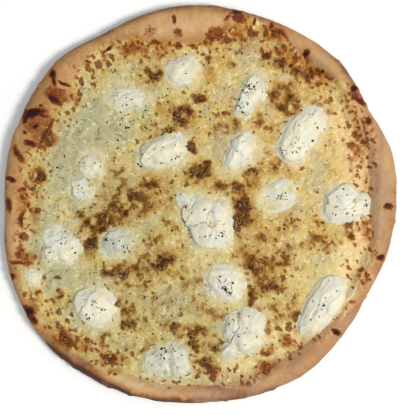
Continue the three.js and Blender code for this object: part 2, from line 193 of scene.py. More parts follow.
PALE = [
    [-98, 84, 66, 60, 0, 1], [-135, 48, 40, 84, -10, 1], [-145, -44, 50, 48, 0, 0.8],
    [-27, -92, 84, 44, 0, 0.5], [138, -60, 46, 36, 0, 0.35], [148, 55, 34, 70, 15, 0.2],
    [60, 148, 30, 46, 0, 0.5], [-43, -23, 22, 20, 0, 0.5], [16, -60, 34, 22, 0, 0.4],
    [55, 118, 34, 56, -15, 0.6], [105, 75, 50, 70, -35, 0.5], [80, 10, 50, 34, 0, 0.5],
    [-160, -60, 30, 34, 0, 0.5], [-100, -100, 54, 60, 0, 0.4], [130, -95, 60, 60, 0, 0.3],
    [-30, 60, 56, 44, 0, 0.55], [150, -90, 30, 40, 0, 0.3], [42, -125, 54, 62, 0, 0.4],
    [5, 95, 60, 30, 0, 0.3], [-75, 105, 60, 40, 0, 0.8], [-35, -155, 60, 36, 0, 0.4],
    [25, -77, 52, 44, 0, 0.4], [5, -15, 56, 60, 0, 0.5], [-88, -36, 36, 36, 0, 0.5],
    [40, 55, 44, 44, 0, 0.5], [14, 53, 26, 34, 0, 0.7], [36, 148, 44, 34, 0, 0.4],
    [131, 120, 22, 16, -45, 0.4], [-142, -72, 34, 28, 0, 1.0], [-157, -6, 26, 28, 0, 1.0],
    [50, 160, 24, 22, 0, 1.0], [86, 124, 16, 12, 0, 0.6], [-118, -114, 20, 16, 0, 0.6],
    [118, 26, 26, 36, 0, 1.0], [84, -92, 16, 24, 0, 0.9], [155, -69, 16, 20, 0, 0.6],
    [150, 0, 50, 40, 0, 0.4],
]
# Where the cheese doesn't reach as far up the rim, in rows of the same kind.
BARE = [
    [152, -119, 50, 18, 52, 1.0], [0, -184, 90, 8, 0, 1.0], [105, -150, 80, 10, 36, 0.8],
    [-60, -176, 50, 8, -18, 0.8], [176, -10, 60, 8, 90, 0.8], [114, 152, 80, 20, -40, 1.0],
    [-18, 167, 50, 10, 0, 1.0], [176, 84, 44, 8, -70, 0.7],
]
RIGHT_GOLD = 0.0007  # how much more golden the cheese grows with every millimetre to the right
LUMP_PATCHES = [[*lump[:5], 1.0] for lump in LUMPS]
DAB_SIZES = ((14.0, 21, 0.40), (10.0, 22, 0.45), (7.5, 23, 0.5), (5.4, 24, 0.55))  # spacing, seed, reach

# Rim stretches darker or lighter from baking and from painted shade and light; painted shade along its outer
# edge.
CRUST_DARK_AND_SHADED = [
    [-164, 56, 16, 24, 0, 0.5], [-160, 100, 40, 50, 40, 0.6], [172, 70, 12, 60, 20, 0.5],
    [-150, 128, 30, 20, 40, 0.4], [10, -189, 150, 28, 0, 1.3], [-120, -148, 60, 22, -38, 0.8],
]
CRUST_EDGE_SHADE = [
    [-106, -176, 110, 30, -33, 1.5], [0, -198, 160, 14, 0, 0.8], [155, 128, 100, 20, -48, 0.5],
    [-60, 188, 150, 16, 20, 0.5], [-198, 0, 10, 120, 0, 0.4],
]
CRUST_PALE_AND_LIT = [
    [-186, -25, 16, 80, 0, 0.8], [-20, 182, 130, 26, 0, 1.0], [110, 155, 60, 24, -38, 0.5],
    [-115, 150, 60, 26, 45, 0.5], [182, 30, 20, 80, 0, 0.2], [150, 110, 60, 22, -48, 0.4],
    [120, -140, 90, 22, 38, 0.3], [50, -182, 70, 14, 10, 0.5], [88, -152, 50, 12, 36, 0.6],
    [176, -8, 14, 60, 0, 0.8], [172, 66, 12, 30, 0, 0.6], [-88, -162, 90, 13, -29, 1.3],
    [-20, -184, 90, 11, -4, 1.2],
]

# Charred marks on the rim.
CHAR = [
    [-164, 92, 21, 8, 0, 1.1], [-172, 87, 9, 6, 50, 1.0], [-154, 88, 11, 4, -25, 0.8],
    [-163, 80, 18, 13, 0, 0.45], [-161, 78, 6, 4, 20, 0.9], [-173, 73, 4, 3, 0, 0.9],
    [-157, 99, 4, 2.5, -30, 0.9], [-144, 105, 15, 7, -38, 1.0], [-142, 112, 20, 10, -15, 0.5],
    [-133, 121, 11, 3, -28, 0.8], [-145, 130, 8, 8, 0, 1.05], [-143, 123, 4, 9, 0, 0.9],
    [-91, 155, 10, 3.5, 35, 0.85], [-96, 150, 4, 8, 10, 0.75], [-112, 144, 5, 2.5, -10, 0.8],
    [-104, 141, 4.5, 4, 0, 0.8], [-99, 134, 6, 8, 0, 0.45], [-123, 138, 5, 4, 0, 0.35],
    [-168, 62, 10, 7, -15, 0.95], [-179, 53, 17, 6, -63, 0.7], [-187, 26, 9, 4, -8, 0.9],
    [-164, 29, 8, 8, 0, 0.85], [-159, 33, 12, 9, 0, 0.5], [-188, 2, 6, 15, 10, 0.7],
    [-174, -13, 8, 16, -15, 0.8], [-176, -31, 7, 6, 0, 0.75], [-170, -51, 6, 7, 0, 0.8],
    [-180, -57, 14, 4, 0, 0.65], [-179, -47, 8, 14, 0, 0.5], [-172, 17, 14, 4, 5, 0.65],
    [-160, 15, 8, 8, 0, 0.35], [-188, -70, 12, 5, 8, 1.0], [-170, -104, 13, 11, -40, 1.0],
    [-165, -112, 11, 6, -50, 0.9], [-26, 183, 4, 9, 10, 0.65], [-21, 171, 9, 8, 0, 0.5],
    [36, 192, 9, 5, -15, 1.1], [38, 186, 13, 7, -10, 0.65], [40, 175, 12, 5, -15, 0.75],
    [28, 186, 4, 11, -15, 0.5], [46, 188, 8, 7, 0, 0.35], [55, 184, 3.5, 6, 0, 0.8],
    [72, 180, 4, 6, 0, 0.85], [77, 170, 14, 11, -30, 0.65], [105.5, 151, 6.5, 8, 0, 1.0],
    [121, 135, 2.5, 3, 0, 0.9], [153, 118, 6, 7, -20, 1.05], [155, 110, 9, 9, 0, 0.6],
    [160, 104, 9, 5, -45, 0.85], [168, 86, 6, 8, 20, 0.8], [163, 80, 4, 14, 10, 0.5],
    [166, 72, 8, 3, 20, 0.45], [188.5, -1.5, 8, 5, 5, 0.85], [178.5, -51, 5.5, 5, 0, 0.95],
    [136.5, -124, 10, 5, -22, 1.05], [-51, 174, 12, 12, 0, 0.35], [20, 173, 16, 6, 20, 0.4],
]

# Folds in the ricotta: [x, y of one end, x, y of the other, depth, width]. The curd drops suddenly at a fold,
# seen from its right, and rises slowly again on its left. A negative depth is a ridge.
FOLD_CLIFF = 0.5  # share of the width over which the curd drops
FOLD_SLOPE = 2.6  # share of the width over which it rises again
FOLD_DEPTH = 0.9  # what all the depths are multiplied by
FACETS = 16  # flat faces on each spoonful
FACET_DEPTH = 0.13  # how deep they are cut, as a share of the radius
FACET_RADIUS = 15
FACET_SEED = 40
CURD_LAYERS = ((26, 1.6, 0.7, 262), (15, 1.2, 0.3, 264))  # width of the bumps, steps, height, seed
CURD_RISE = 6.0  # the height above the cheese at which the curd is no longer thin
SKIRT = 2.4  # how far the curd's foot runs out over the cheese
RICOTTA_SINK = 0.8  # how far its underside lies in the cheese
FOLDS = [
    [-11.5, 142, -22.5, 127, 1.4, 2.2], [-86, 105, -74, 114, 1.0, 2.0], [-77, 113, -60, 114, 0.8, 1.8],
    [-84, 100, -72, 104, 0.7, 2.0], [59, 127, 47, 112, 1.2, 2.6], [48, 100, 42, 90, 0.8, 2.0],
    [112, 96, 105, 88, 0.9, 2.0], [84, 62, 97, 50, 0.9, 2.4], [100, 84, 114, 80, 0.7, 2.2],
    [30, 58, 40, 48, 1.2, 2.2], [40, 48, 46, 46, 0.8, 2.0], [-53, 52, -47, 42, 1.8, 2.4],
    [-47, 42, -36, 38, 1.4, 2.2], [-27, 64, -48, 53, 1.2, 2.4], [-118, 48, -108, 34, 0.7, 2.4],
    [-126, 20, -114, 12, 0.6, 2.0], [-8, -21, 26, -22, 0.7, 2.4], [5.5, -9, 13.5, -1, 1.1, 2.2],
    [-14, -3, -4, 6, 1.2, 2.2], [70, 4, 82, 12, 0.6, 2.4], [140, -4, 153, -2, 1.6, 2.4],
    [153, -2, 156, 8, 1.2, 2.2], [134, 6, 140, 0, 1.0, 2.0], [-147, -35, -132, -30, 1.0, 2.4],
    [-155, -43, -144, -49, 0.9, 2.2], [-144, -49, -139, -58, 0.8, 2.2], [-98, -47, -76, -50, 1.2, 2.2],
    [-94, -30, -80, -34, 0.6, 2.2], [2, -78, 17, -93, 1.6, 2.4], [16, -70, 34, -84, 0.7, 2.4],
    [-106, -86, -118, -108, -1.4, 6.0], [-108, -94, -92, -108, 0.7, 2.2], [126, -88, 120, -100, 1.6, 2.6],
    [134, -92, 127, -104, -1.2, 4.2], [118, -96, 112, -114, 1.4, 2.4], [37, -104, 33, -140, 1.3, 3.2],
    [40, -122, 58, -128, 0.9, 2.4], [28, -140, 40, -147, 1.5, 2.0], [34, -130, 26, -140, -1.2, 4.0],
    [-33, -148, -31, -172, 1.8, 3.2], [-26, -150, -18, -166, -1.2, 4.4], [-50, -150, -36, -158, 0.9, 2.2],
]

# Where the pepper fell thickly: [x, y, length, width, turn in degrees, flakes].
PEPPER = [
    [46, 116, 24, 16, 60, 36], [40, 98, 8, 10, 0, 10], [14, 101, 60, 40, 0, 34], [-35, 109, 14, 16, 0, 10],
    [-69, 82, 15, 6, 45, 14], [-50, 86, 40, 16, 0, 16], [-42, 71, 26, 7, 20, 10], [-60, 56, 8, 14, 0, 8],
    [-22, 49, 7, 9, 0, 8], [25, 66, 4, 14, 0, 4], [50, 46, 9, 6, 0, 4], [97, 58, 22, 20, 0, 20],
    [82, 54, 4, 12, 0, 6], [86, 84, 12, 5, 30, 6], [-110, 40, 24, 20, 0, 5], [-118, 17, 20, 16, 0, 4],
    [-137, -34, 30, 20, 0, 13], [-151, -52, 10, 10, 0, 7], [-85, -32, 20, 14, 0, 18],
    [-73, -42, 14, 8, 0, 9], [-14, 1, 9, 10, 0, 7], [22, -28, 10, 7, 0, 9], [-11, -24, 5, 30, 20, 12],
    [82, 9, 17, 8, 20, 12], [145, 19, 30, 8, 0, 7], [163, 5, 14, 10, 0, 14], [114.5, 14, 6, 5, 0, 4],
    [150, -7, 10, 6, 0, 5], [24, -78, 26, 8, -45, 34], [30, -88, 8, 8, 0, 8], [-102, -100, 22, 6, -35, 20],
    [-110, -112, 12, 4, -10, 6], [-66, -99, 7, 4, 0, 4], [-62, 92, 44, 24, 0, 34],
    [-84, 64, 30, 14, 30, 14], [-34, -146, 14, 14, 40, 18], [-14, -169, 16, 4, 35, 10],
    [-38, -132, 22, 18, 0, 12], [-50, -174, 12, 4, -30, 5], [-24, -176, 12, 3, 0, 4],
    [34, -117, 12, 24, 0, 6], [120, -100, 26, 26, 0, 7], [-24, -94, 80, 50, 0, 44], [45, -45, 40, 30, 0, 8],
    [-70, -130, 60, 30, 0, 14], [-125, 60, 60, 60, 0, 8],
]
LOOSE_PEPPER = 320  # flakes strewn over all of the cheese
STREWN_REACH = 185  # half the side of the square in which they are strewn
STREWN_EDGE = 6  # how far they keep from the cheese's edge
PEPPER_SIZES = (0.6, 2.1)  # the least and the largest half length of a strewn flake
PEPPER_SCATTER = 0.27  # how widely flakes scatter in a row's oval, as a share of its length and width
PEPPER_SEED = 11

# The flakes of the CAD model.
FLAKE = (1.3, 0.6, 0.5)  # half sizes
CHEESE_FLAKES = 28  # how many lie on the cheese
FLAKE_CLEARANCE = 5  # from a lump of ricotta
FLAKE_APART = 20  # from each other
FLAKE_EDGE = 8  # from the cheese's edge
FLAKED_LUMP = 26  # a lump at least this long carries two of them
FLAKE_REACH = 0.22  # their distance from its middle, as a share of its width
FLAKE_SEED = 7
GOLDEN_ANGLE = math.pi * (3 - math.sqrt(5))

# A flake of pepper: five uneven corners, a point above them and a point below.
SHARD = np.array([
    [1, 0, 0], [0.3, 0.95, 0.1], [-0.8, 0.6, -0.1], [-0.9, -0.5, 0.1], [0.2, -1, 0],
    [0.2, 0.1, 1], [-0.1, 0, -1],
], float)
SHARD_FACES = np.array([[i, (i + 1) % 5, 5] for i in range(5)] + [[(i + 1) % 5, i, 6] for i in range(5)])

# ---- Colours, as they show on the screen, from 0 to 255 ----

CHEESE_COLOURS = [
    (0.0, (201, 196, 152)), (0.25, (218, 207, 153)), (0.5, (232, 211, 134)), (0.75, (216, 180, 93)),
    (1.0, (194, 142, 56)),
]
BROWN_COLOURS = [
    (0.0, (200, 156, 72)), (0.3, (178, 130, 46)), (0.6, (142, 90, 10)), (0.85, (104, 56, 0)),
    (1.0, (68, 30, 0)),
]
RIM_BROWN_COLOURS = [
    (0.0, (220, 154, 78)), (0.3, (204, 128, 54)), (0.6, (172, 94, 28)), (0.85, (132, 66, 10)),
    (1.0, (92, 40, 0)),
]
DAB_COLOURS = [(0.0, (200, 158, 84)), (0.3, (170, 122, 50)), (0.65, (134, 86, 24)), (1.0, (86, 44, 0))]
RIM_DAB_COLOURS = [(0.0, (212, 146, 72)), (0.3, (180, 108, 44)), (0.65, (134, 72, 20)), (1.0, (84, 38, 0))]
CRUST_COLOURS = [
    (0.0, (240, 204, 154)), (0.3, (224, 176, 120)), (0.5, (204, 152, 96)), (0.75, (162, 108, 64)),
    (1.0, (96, 62, 46)),
]
CHAR_COLOURS = [(0.0, (196, 126, 70)), (0.35, (158, 86, 42)), (0.7, (104, 48, 26)), (1.0, (52, 22, 12))]
RICOTTA_COLOURS = [(0.0, (240, 232, 196)), (0.3, (251, 243, 212)), (1.0, (264, 254, 228))]
PEPPER_COLOURS = [(0.0, (14, 13, 12)), (0.5, (46, 40, 28)), (1.0, (96, 84, 46))]
OIL = (184, 158, 80)
HERBS = (134, 114, 52)
# Painted light: lightens the cheese at the foot of the rim on the right, where the slope lies in shade.
SLOPE_LIGHT = (274, 250, 186)
# The cheese's thin edge on the right, tinted toward the crust and lightened: partly its own colour, partly
# painted light against the shade on the slope.
THIN_CHEESE_AND_LIGHT = (230, 182, 132)
MILK = (242, 230, 182)
# Painted highlights: bright strands on the pale cheese.
PAINTED_GLINT = (270, 264, 220)
TAN = (192, 152, 82)
STRANDS = (240, 212, 144)
BLUSH = (196, 156, 130)
FLOUR = (216, 190, 156)
SINGED = (206, 146, 88)
COOL_CURD = (238, 245, 240)
WARM_CURD = (255, 241, 198)
DULL_CURD = (200, 204, 186)
LEFT_TINT = (0.98, 1.0, 1.03, 1.0)  # what the cheese's colour is multiplied by at its left and right
RIGHT_TINT = (1.11, 1.02, 0.99, 1.0)

# ---- Floor and light ----

FLOOR_SIZE = 8000.0
FLOOR_DROP = 0.4  # how far it lies below the pizza
FLOOR_PAINT = ((0.95, 0.95, 0.95, 1), (0.98, 0.98, 0.98, 1))
SKY_COLOUR = (0.88, 0.94, 0.98, 1.0)
SKY_STRENGTH = 0.62
LIGHT_PLACE = (1600, -500, 2350)
LIGHT_SIZE = 900
LIGHT_POWER = 61
LIGHT_COLOUR = (1.0, 0.95, 0.88)
BRIGHTNESS = 1.36  # how bright this makes a level white surface; 1 is white in the picture

# ---- Camera, and how the photograph lies over the pizza ----

PHOTO_SIZE = (400, 415)
PHOTO_MIDDLE = (199.5, 206.0)  # the pixel over x = 0, y = 0; a pixel is a millimetre there
CAMERA_RISE = 1110.0  # above the floor
CAMERA_LEVEL = 10.0  # the height at which a pixel is a millimetre
SENSOR = 36.0

# ---- What the noise is made from ----

HASH_PRIMES = (374761393, 668265263, 2246822519, 3266489917, 1274126177)
HASH_WORD = 0xFFFFFFFF
HASH_SHARE = 0xFFFFFF


# ---- Noise ----

def smooth(low, high, value):
    """Eases from 0 at low to 1 at high."""
    t = np.clip((value - low) / (high - low), 0.0, 1.0)
    return t * t * (3.0 - 2.0 * t)


def lattice(ix, iy, iz, seed):
    """A number from 0 to 1 for each whole-numbered place."""
    a, b, c, d, e = HASH_PRIMES
    h = (ix * a + iy * b + iz * c + seed * d) & HASH_WORD
    h = ((h ^ (h >> 15)) * c) & HASH_WORD
    h = ((h ^ (h >> 13)) * e) & HASH_WORD
    return ((h ^ (h >> 16)) & HASH_SHARE) / HASH_SHARE


def noise(x, y, z, size, seed):
    """Smooth noise from -1 to 1 whose bumps are about as wide as size."""
    x, y, z = np.broadcast_arrays(np.asarray(x, float), y, z)
    corners = []
    weights = []
    for value in (x, y, z):
        scaled = value / size
        cell = np.floor(scaled).astype(np.int64)
        t = scaled - cell
        ease = t * t * t * (t * (6 * t - 15) + 10)
        corners.append((cell, cell + 1))
        weights.append((1 - ease, ease))
    if np.ptp(z) == 0:
        weights[2] = (1.0,)
    total = np.zeros(x.shape)
    for i, wx in enumerate(weights[0]):
        for j, wy in enumerate(weights[1]):
            for k, wz in enumerate(weights[2]):
                total += wx * wy * wz * lattice(corners[0][i], corners[1][j], corners[2][k], seed)
    return 2 * total - 1


def fbm(x, y, z, size, octaves, seed):
    """Noise with finer and weaker noise on it."""
    total, weight, norm = 0.0, 1.0, 0.0
    for k in range(octaves):
        total = total + weight * noise(x + 17.3 * k, y - 9.1 * k, z, size / 2**k, seed + k)
        norm += weight
        weight *= 0.5
    return total / norm


def layered(x, y, z, layers):
    """Noises added up, each given by its height, the width of its bumps, its octaves and its seed."""
    return sum(height * fbm(x, y, z, *form) for height, *form in layers)


def wandered(x, y, amount, size, octaves, seeds):
    """The points moved about unevenly, which gives uneven edges to what is drawn at them."""
    return (x + amount * fbm(x, y, 0, size, octaves, seeds[0]),
            y + amount * fbm(x, y, 0, size, octaves, seeds[1]))


def cells(x, y, size, seed):
    """The distance to the nearest of points strewn one to a square, in squares, and that point's number."""
    gx, gy = x / size, y / size
    ix, iy = np.floor(gx).astype(np.int64), np.floor(gy).astype(np.int64)
    best = np.full(x.shape, 9.0)
    number = np.zeros(x.shape)
    for dx in (-1, 0, 1):
        for dy in (-1, 0, 1):
            cx, cy = ix + dx, iy + dy
            distance = np.hypot(gx - cx - lattice(cx, cy, 0, seed), gy - cy - lattice(cx, cy, 1, seed))
            near = distance < best
            best = np.where(near, distance, best)
            number = np.where(near, lattice(cx, cy, 2, seed), number)
    return best, number


# ---- Turned ovals: rows that start with x, y, length, width and turn in degrees ----

def oval_share(x, y, oval):
    """Where points lie along and across an oval, as shares of its half length and half width."""
    px, py, length, width, turn = oval[:5]
    c, s = math.cos(math.radians(turn)), math.sin(math.radians(turn))
    return ((x - px) * c + (y - py) * s) / (length / 2), ((y - py) * c - (x - px) * s) / (width / 2)


def oval_point(oval, along, across):
    """The point at such shares of an oval."""
    x, y, length, width, turn = oval[:5]
    c, s = math.cos(math.radians(turn)), math.sin(math.radians(turn))
    u, v = along * length / 2, across * width / 2
    return x + u * c - v * s, y + u * s + v * c


def patches(x, y, rows, outer, inner, wander):
    """The strongest of the rows' soft-edged, uneven ovals at each point."""
    wx, wy = wandered(x, y, wander, 14, 3, (11, 31))
    mask = np.zeros(x.shape)
    for row in rows:
        mask = np.maximum(mask, row[5] * smooth(outer, inner, np.hypot(*oval_share(wx, wy, row))))
    return mask


# ---- Surfaces, as in the CAD model ----

def around(values, angle):
    """A smooth closed line through evenly spaced values, read at an angle in radians."""
    table = np.array(values, float)
    place = (angle / (2 * math.pi)) % 1.0 * len(table)
    i = np.floor(place).astype(int)
    t = place - i
    a, b, c, d = (table[(i + k) % len(table)] for k in (-1, 0, 1, 2))
    return b + 0.5 * t * (c - a + t * (2 * a - 5 * b + 4 * c - d + t * (3 * (b - c) + d - a)))


def swell(x, y, wavelength):
    """Five crossing waves."""
    total = 0.0
    for k in range(5):
        turn = 0.7 + k * 2.4
        wave = 2 * math.pi * (1 + 0.17 * k) / wavelength
        total = total + np.sin(wave * (x * math.cos(turn) + y * math.sin(turn)) + 1.9 * k)
    return total / 3


def outer_radius(angle):
    return around(OUTER_RADIUS, angle)


def cheese_radius(angle):
    return outer_radius(angle) - around(BARE_WIDTH, angle)


def rim_at(angle):
    """The rim's width, the crown's distance from the outer edge, and its height."""
    width = np.maximum(LEAST_RIM, around(BARE_WIDTH, angle) + FOOT)
    return width, CROWN_SHARE * width, around(CROWN_HEIGHT, angle)


def rim_outside(angle, degrees):
    """The rim's outer side, from under the crown at -90 degrees up to the crown at 90."""
    _, inset, height = rim_at(angle)
    lift = np.sin(np.radians(degrees))
    bulge = np.clip(np.cos(np.radians(degrees)), 0, 1) ** RIM_ROUNDNESS
    middle = CROWN_SHARE * height
    z = np.where(lift < 0, middle * (1 + lift), middle + (height - middle) * lift)
    return outer_radius(angle) - inset * (1 - bulge), z


def rim_inside(angle, share):
    """The rim's inner side, from the crown at 0 down to its foot at 1."""
    width, inset, height = rim_at(angle)
    r = outer_radius(angle) - inset - share * (width - inset)
    return r, BASE + (height - BASE) * (1 - smooth(0, 1, share))


def crust_top(x, y):
    """Height of the crust's top inside the crown."""
    angle = np.arctan2(y, x)
    width, inset, _ = rim_at(angle)
    share = (outer_radius(angle) - inset - np.hypot(x, y)) / (width - inset)
    return rim_inside(angle, np.clip(share, 0, 1))[1]


def cheese_inward(x, y):
    """Distance from the cheese's edge inwards."""
    return cheese_radius(np.arctan2(y, x)) - np.hypot(x, y)


def cheese_level(x, y):
    """Height of the cheese's top: level with swells in the middle, thinning out up the rim."""
    level = BASE + CHEESE + RELIEF * (0.6 * swell(x, y, 62) + 0.4 * swell(y, x, 27))
    film = CHEESE_EDGE * (0.7 + 0.3 * smooth(0, 12, cheese_inward(x, y))) + 0.4 * swell(x, y, 31) ** 2
    return np.maximum(level, crust_top(x, y) + GAP + film)


def foot_fillet(x, y):
    """How much the cheese fills the foot of the rim."""
    away = np.abs(crust_top(x, y) + GAP + CHEESE_EDGE - BASE - CHEESE)
    return FILLET / 4 * np.clip(1 - away / FILLET, 0, 1) ** 2


def square_to_disc(u, v):
    """Carries a square of -1 to 1 onto a disc: the share of the radius, and the angle."""
    wide = np.abs(u) > np.abs(v)
    with np.errstate(divide="ignore", invalid="ignore"):
        flat = math.pi / 4 * (v / u) + np.where(u < 0, math.pi, 0.0)
        steep = math.pi / 2 - math.pi / 4 * (u / v) + np.where(v < 0, math.pi, 0.0)
    share = np.where(wide, np.abs(u), np.abs(v))
    return share, np.nan_to_num(np.where(wide, flat, steep))


# ---- How far the cheese is toasted ----

def near_ricotta(x, y):
    """1 under the spoonfuls of ricotta, and falling to 0 a little way out from them."""
    return patches(x, y, LUMP_PATCHES, 1.45, 0.9, 2.0)


def milkiness(x, y):
    """High beside the ricotta, where it has melted into the cheese, and 0 away from it."""
    return 0.8 * patches(x - 3.0, y, LUMP_PATCHES, 1.7, 1.0, 5.0)


def bareness(x, y):
    """How far the rim is bare of cheese."""
    return patches(x, y, BARE, 1.25, 0.8, 4)


def spot_field(x, y, amount):
    """Dabs of toasted cheese: 1 in a dab's middle, 0 beside it, and more dabs where amount is high."""
    wx, wy = wandered(x, y, 2.6, 5.5, 2, (3, 4))
    spots = np.zeros(x.shape)
    for size, seed, reach in DAB_SIZES:
        distance, number = cells(wx * 1.15 + 0.3 * wy, wy, size, seed)
        second = (number * 7.13) % 1.0
        third = (number * 23.7) % 1.0
        keep = smooth(-0.02, 0.04, amount - number)
        inside = np.clip(1 - distance / (reach * (0.6 + 0.5 * second)), 0, 1)
        ring = smooth(0, 0.6, inside) - 0.3 * smooth(0.5, 0.9, inside) * smooth(0.45, 0.6, third)
        spots = np.maximum(spots, keep * ring * (0.35 + 0.65 * third))
    return spots


def toast(x, y):
    """The cheese's browning by name, and light painted at the foot of the rim on the right, each from 0 to
    about 1, to be read by its material.
    """
    inward = cheese_inward(x, y)
    rim = smooth(30, 6, inward)
    right = smooth(20, 120, x - 0.8 * y)
    curd = near_ricotta(x, y)
    pale = np.maximum(patches(x, y, PALE, 1.6, 0.3, 11.0), 0.75 * curd)
    halo = patches(x, y, BROWN, 2.5, 0.8, 9.0)
    golden = 0.47 + RIGHT_GOLD * x + layered(x, y, 0, GOLDEN_MOTTLE) + 0.26 * halo - 0.50 * pale
    # The cheese browns more near the rim, but less on the right, where it is painted paler as light against
    # the shade on the rim's slope.
    golden = np.clip(golden + rim * (0.20 - 0.22 * right), 0, 1)
    gaps = 0.40 * smooth(0.2, 0.0, np.abs(noise(x, y, 0, 11, 51)))
    brown = patches(x, y, BROWN, 1.75, 0.4, 5.0)
    brown = np.clip(brown * (0.92 + layered(x, y, 0, BROWN_MOTTLE) - gaps), 0, 1.2)
    amount = 0.27 * golden * golden + 0.15 * np.clip(brown, 0, 1) + rim * (0.24 - 0.10 * right)
    return {
        "golden": golden,
        "brown": brown,
        "pale": pale,
        "rim": rim,
        "spots": spot_field(x, y, amount * (1 - 0.8 * curd)),
        "halo": np.clip(halo * (0.9 + 0.8 * fbm(x, y, 0, 12, 3, 55) - 0.5 * pale), 0, 1),
        # painted light at the foot of the rim on the right, where the slope lies in shade
        "slope_light": smooth(36, 24, inward) * smooth(-2, 9, inward) * smooth(50, 140, x - 0.35 * y),
        # the thin edge on the right: its own colour, and painted light against the slope's shade
        "thin_and_lit": smooth(8, -1, inward + 3 * fbm(x, y, 0, 9, 2, 61)) * right,
        "warmth": smooth(-110, 150, x + 0.5 * y),
    }


# ---- Making meshes ----

def add_piece(name, points, faces, layers, replaced, material):
    """A mesh object from points in millimetres, which stands for CAD nodes if it replaces any."""
    mesh = bpy.data.meshes.new(name)
    mesh.from_pydata(((points + SHIFT) * MM).tolist(), [], faces.tolist())
    for key, values in layers.items():
        layer = mesh.attributes.new(key, "FLOAT", "POINT")
        layer.data.foreach_set("value", np.ascontiguousarray(values, np.float32))
    mesh.shade_smooth()
    mesh.materials.append(material)
    piece = bpy.data.objects.new(name, mesh)
    bpy.context.scene.collection.objects.link(piece)
    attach(piece, "root")
    if replaced:
        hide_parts(*replaced)
    return piece


def triangles(*corners):
    """Triangles from three arrays of point numbers."""
    return np.stack(np.broadcast_arrays(*corners), -1).reshape(-1, 3)


def ring_faces(rings, count, first_pole, last_pole):
    """Faces over rings of equally many points, numbered ring by ring, with a pole at each end."""
    k = np.arange(rings - 1)[:, None] * count
    i = np.arange(count)[None, :]
    j = (i + 1) % count
    end = (rings - 1) * count
    return np.concatenate([
        triangles(k + i, k + j, k + count + j), triangles(k + i, k + count + j, k + count + i),
        triangles(first_pole, j, i), triangles(last_pole, end + i, end + j),
    ])


# ---- Crust ----

def blister_rise(x, y):
    """How far the blisters lift the crust."""
    wx, wy = wandered(x, y, 1.3, 8, 2, (61, 62))
    rise = np.zeros(x.shape)
    for blister in BLISTERS:
        u, v = oval_share(wx, wy, blister)
        dome = (blister[5] - BLISTER_SINK) * np.clip(1.1 - (u * u + v * v), 0, 1) ** 0.6
        rise = np.maximum(rise, dome)
    return rise


def crust_detail(points, normals, skin):
    """Moves the crust's points outwards, as far as skin allows, and says how charred they are."""
    x, y, z = points[..., 0], points[..., 1], points[..., 2]
    up = smooth(0.1, 0.6, normals[..., 2])
    char = patches(x, y, CHAR, 1.95, 0.3, 3.2)
    lips = patches(x, y, CHAR, 2.9, 1.3, 3.2)
    near, number = cells(x + 0.2 * z, y, PUFF_SPACING, 141)
    out = layered(x, y, z, CRUST_RELIEF) + PUFF_HEIGHT * smooth(0.30, 0.1, near) * smooth(0.55, 0.7, number)
    out += up * (CHAR_LIP * lips - CHAR_SINK * char + 0.4 * char * noise(x, y, z, 2.6, 151))
    moved = points + normals * (skin * out)[..., None]
    moved[..., 2] = np.clip(moved[..., 2] + skin * up * blister_rise(x, y), 0, HIGHEST)
    return moved, char * up


def crust_points():
    """The crust in rings: its sole, its outer side, its inner side and its floor."""
    angle = np.linspace(0, 2 * math.pi, RIM_ANGLES, endpoint=False)[None, :]
    outside = rim_outside(angle, np.linspace(-90, 90, OUTSIDE_RINGS)[:, None])
    inside = rim_inside(angle, np.linspace(0, 1, INSIDE_RINGS + 1)[1:, None])
    sole = rim_outside(angle, -90.0)[0] * np.array(SOLE_SHARES)[:, None]
    floor = inside[0][-1:] * np.array(FLOOR_SHARES)[:, None]
    r = np.concatenate([sole, outside[0], inside[0], floor])
    z = np.concatenate([0 * sole, outside[1], inside[1], 0 * floor + BASE])
    points = np.stack([r * np.cos(angle), r * np.sin(angle), z], -1)
    round_the_rim = np.roll(points, -1, 1) - np.roll(points, 1, 1)
    normals = np.cross(round_the_rim, np.gradient(points, axis=0))
    normals /= np.maximum(np.linalg.norm(normals, axis=-1, keepdims=True), 1e-9)
    skin = np.zeros(r.shape)
    skin[len(sole):-len(floor)] = 1
    skin *= smooth(0.4, 5.0, z) * smooth(3.0, -5.0, cheese_inward(points[..., 0], points[..., 1]))
    return points, normals, skin


def crust_bake_and_shading(x, y, z, up):
    """How dark the crust is baked, with painted shade and light on top, from 0 to about 1."""
    underside = smooth(9, 1, z) * smooth(0.5, -0.3, up)
    edge = smooth(10, 0.5, outer_radius(np.arctan2(y, x)) - np.hypot(x, y))
    bake_and_shading = 0.45 + layered(x, y, z, BAKE_MOTTLE) + 0.3 * underside + 0.5 * smooth(2.5, 0, z)
    bake_and_shading += 0.22 * smooth(0.5, 3, blister_rise(x, y))
    # Darker and lighter stretches: partly baked tone, partly painted shade and painted light.
    bake_and_shading += 0.30 * (patches(x, y, CRUST_DARK_AND_SHADED, 1.5, 0.5, 5) - patches(x, y, CRUST_PALE_AND_LIT, 1.5, 0.5, 5))
    # Painted shade along stretches of the outer edge, on top of the edge's own browning.
    return bake_and_shading + edge * (0.16 + 0.45 * patches(x, y, CRUST_EDGE_SHADE, 1.4, 0.7, 4))


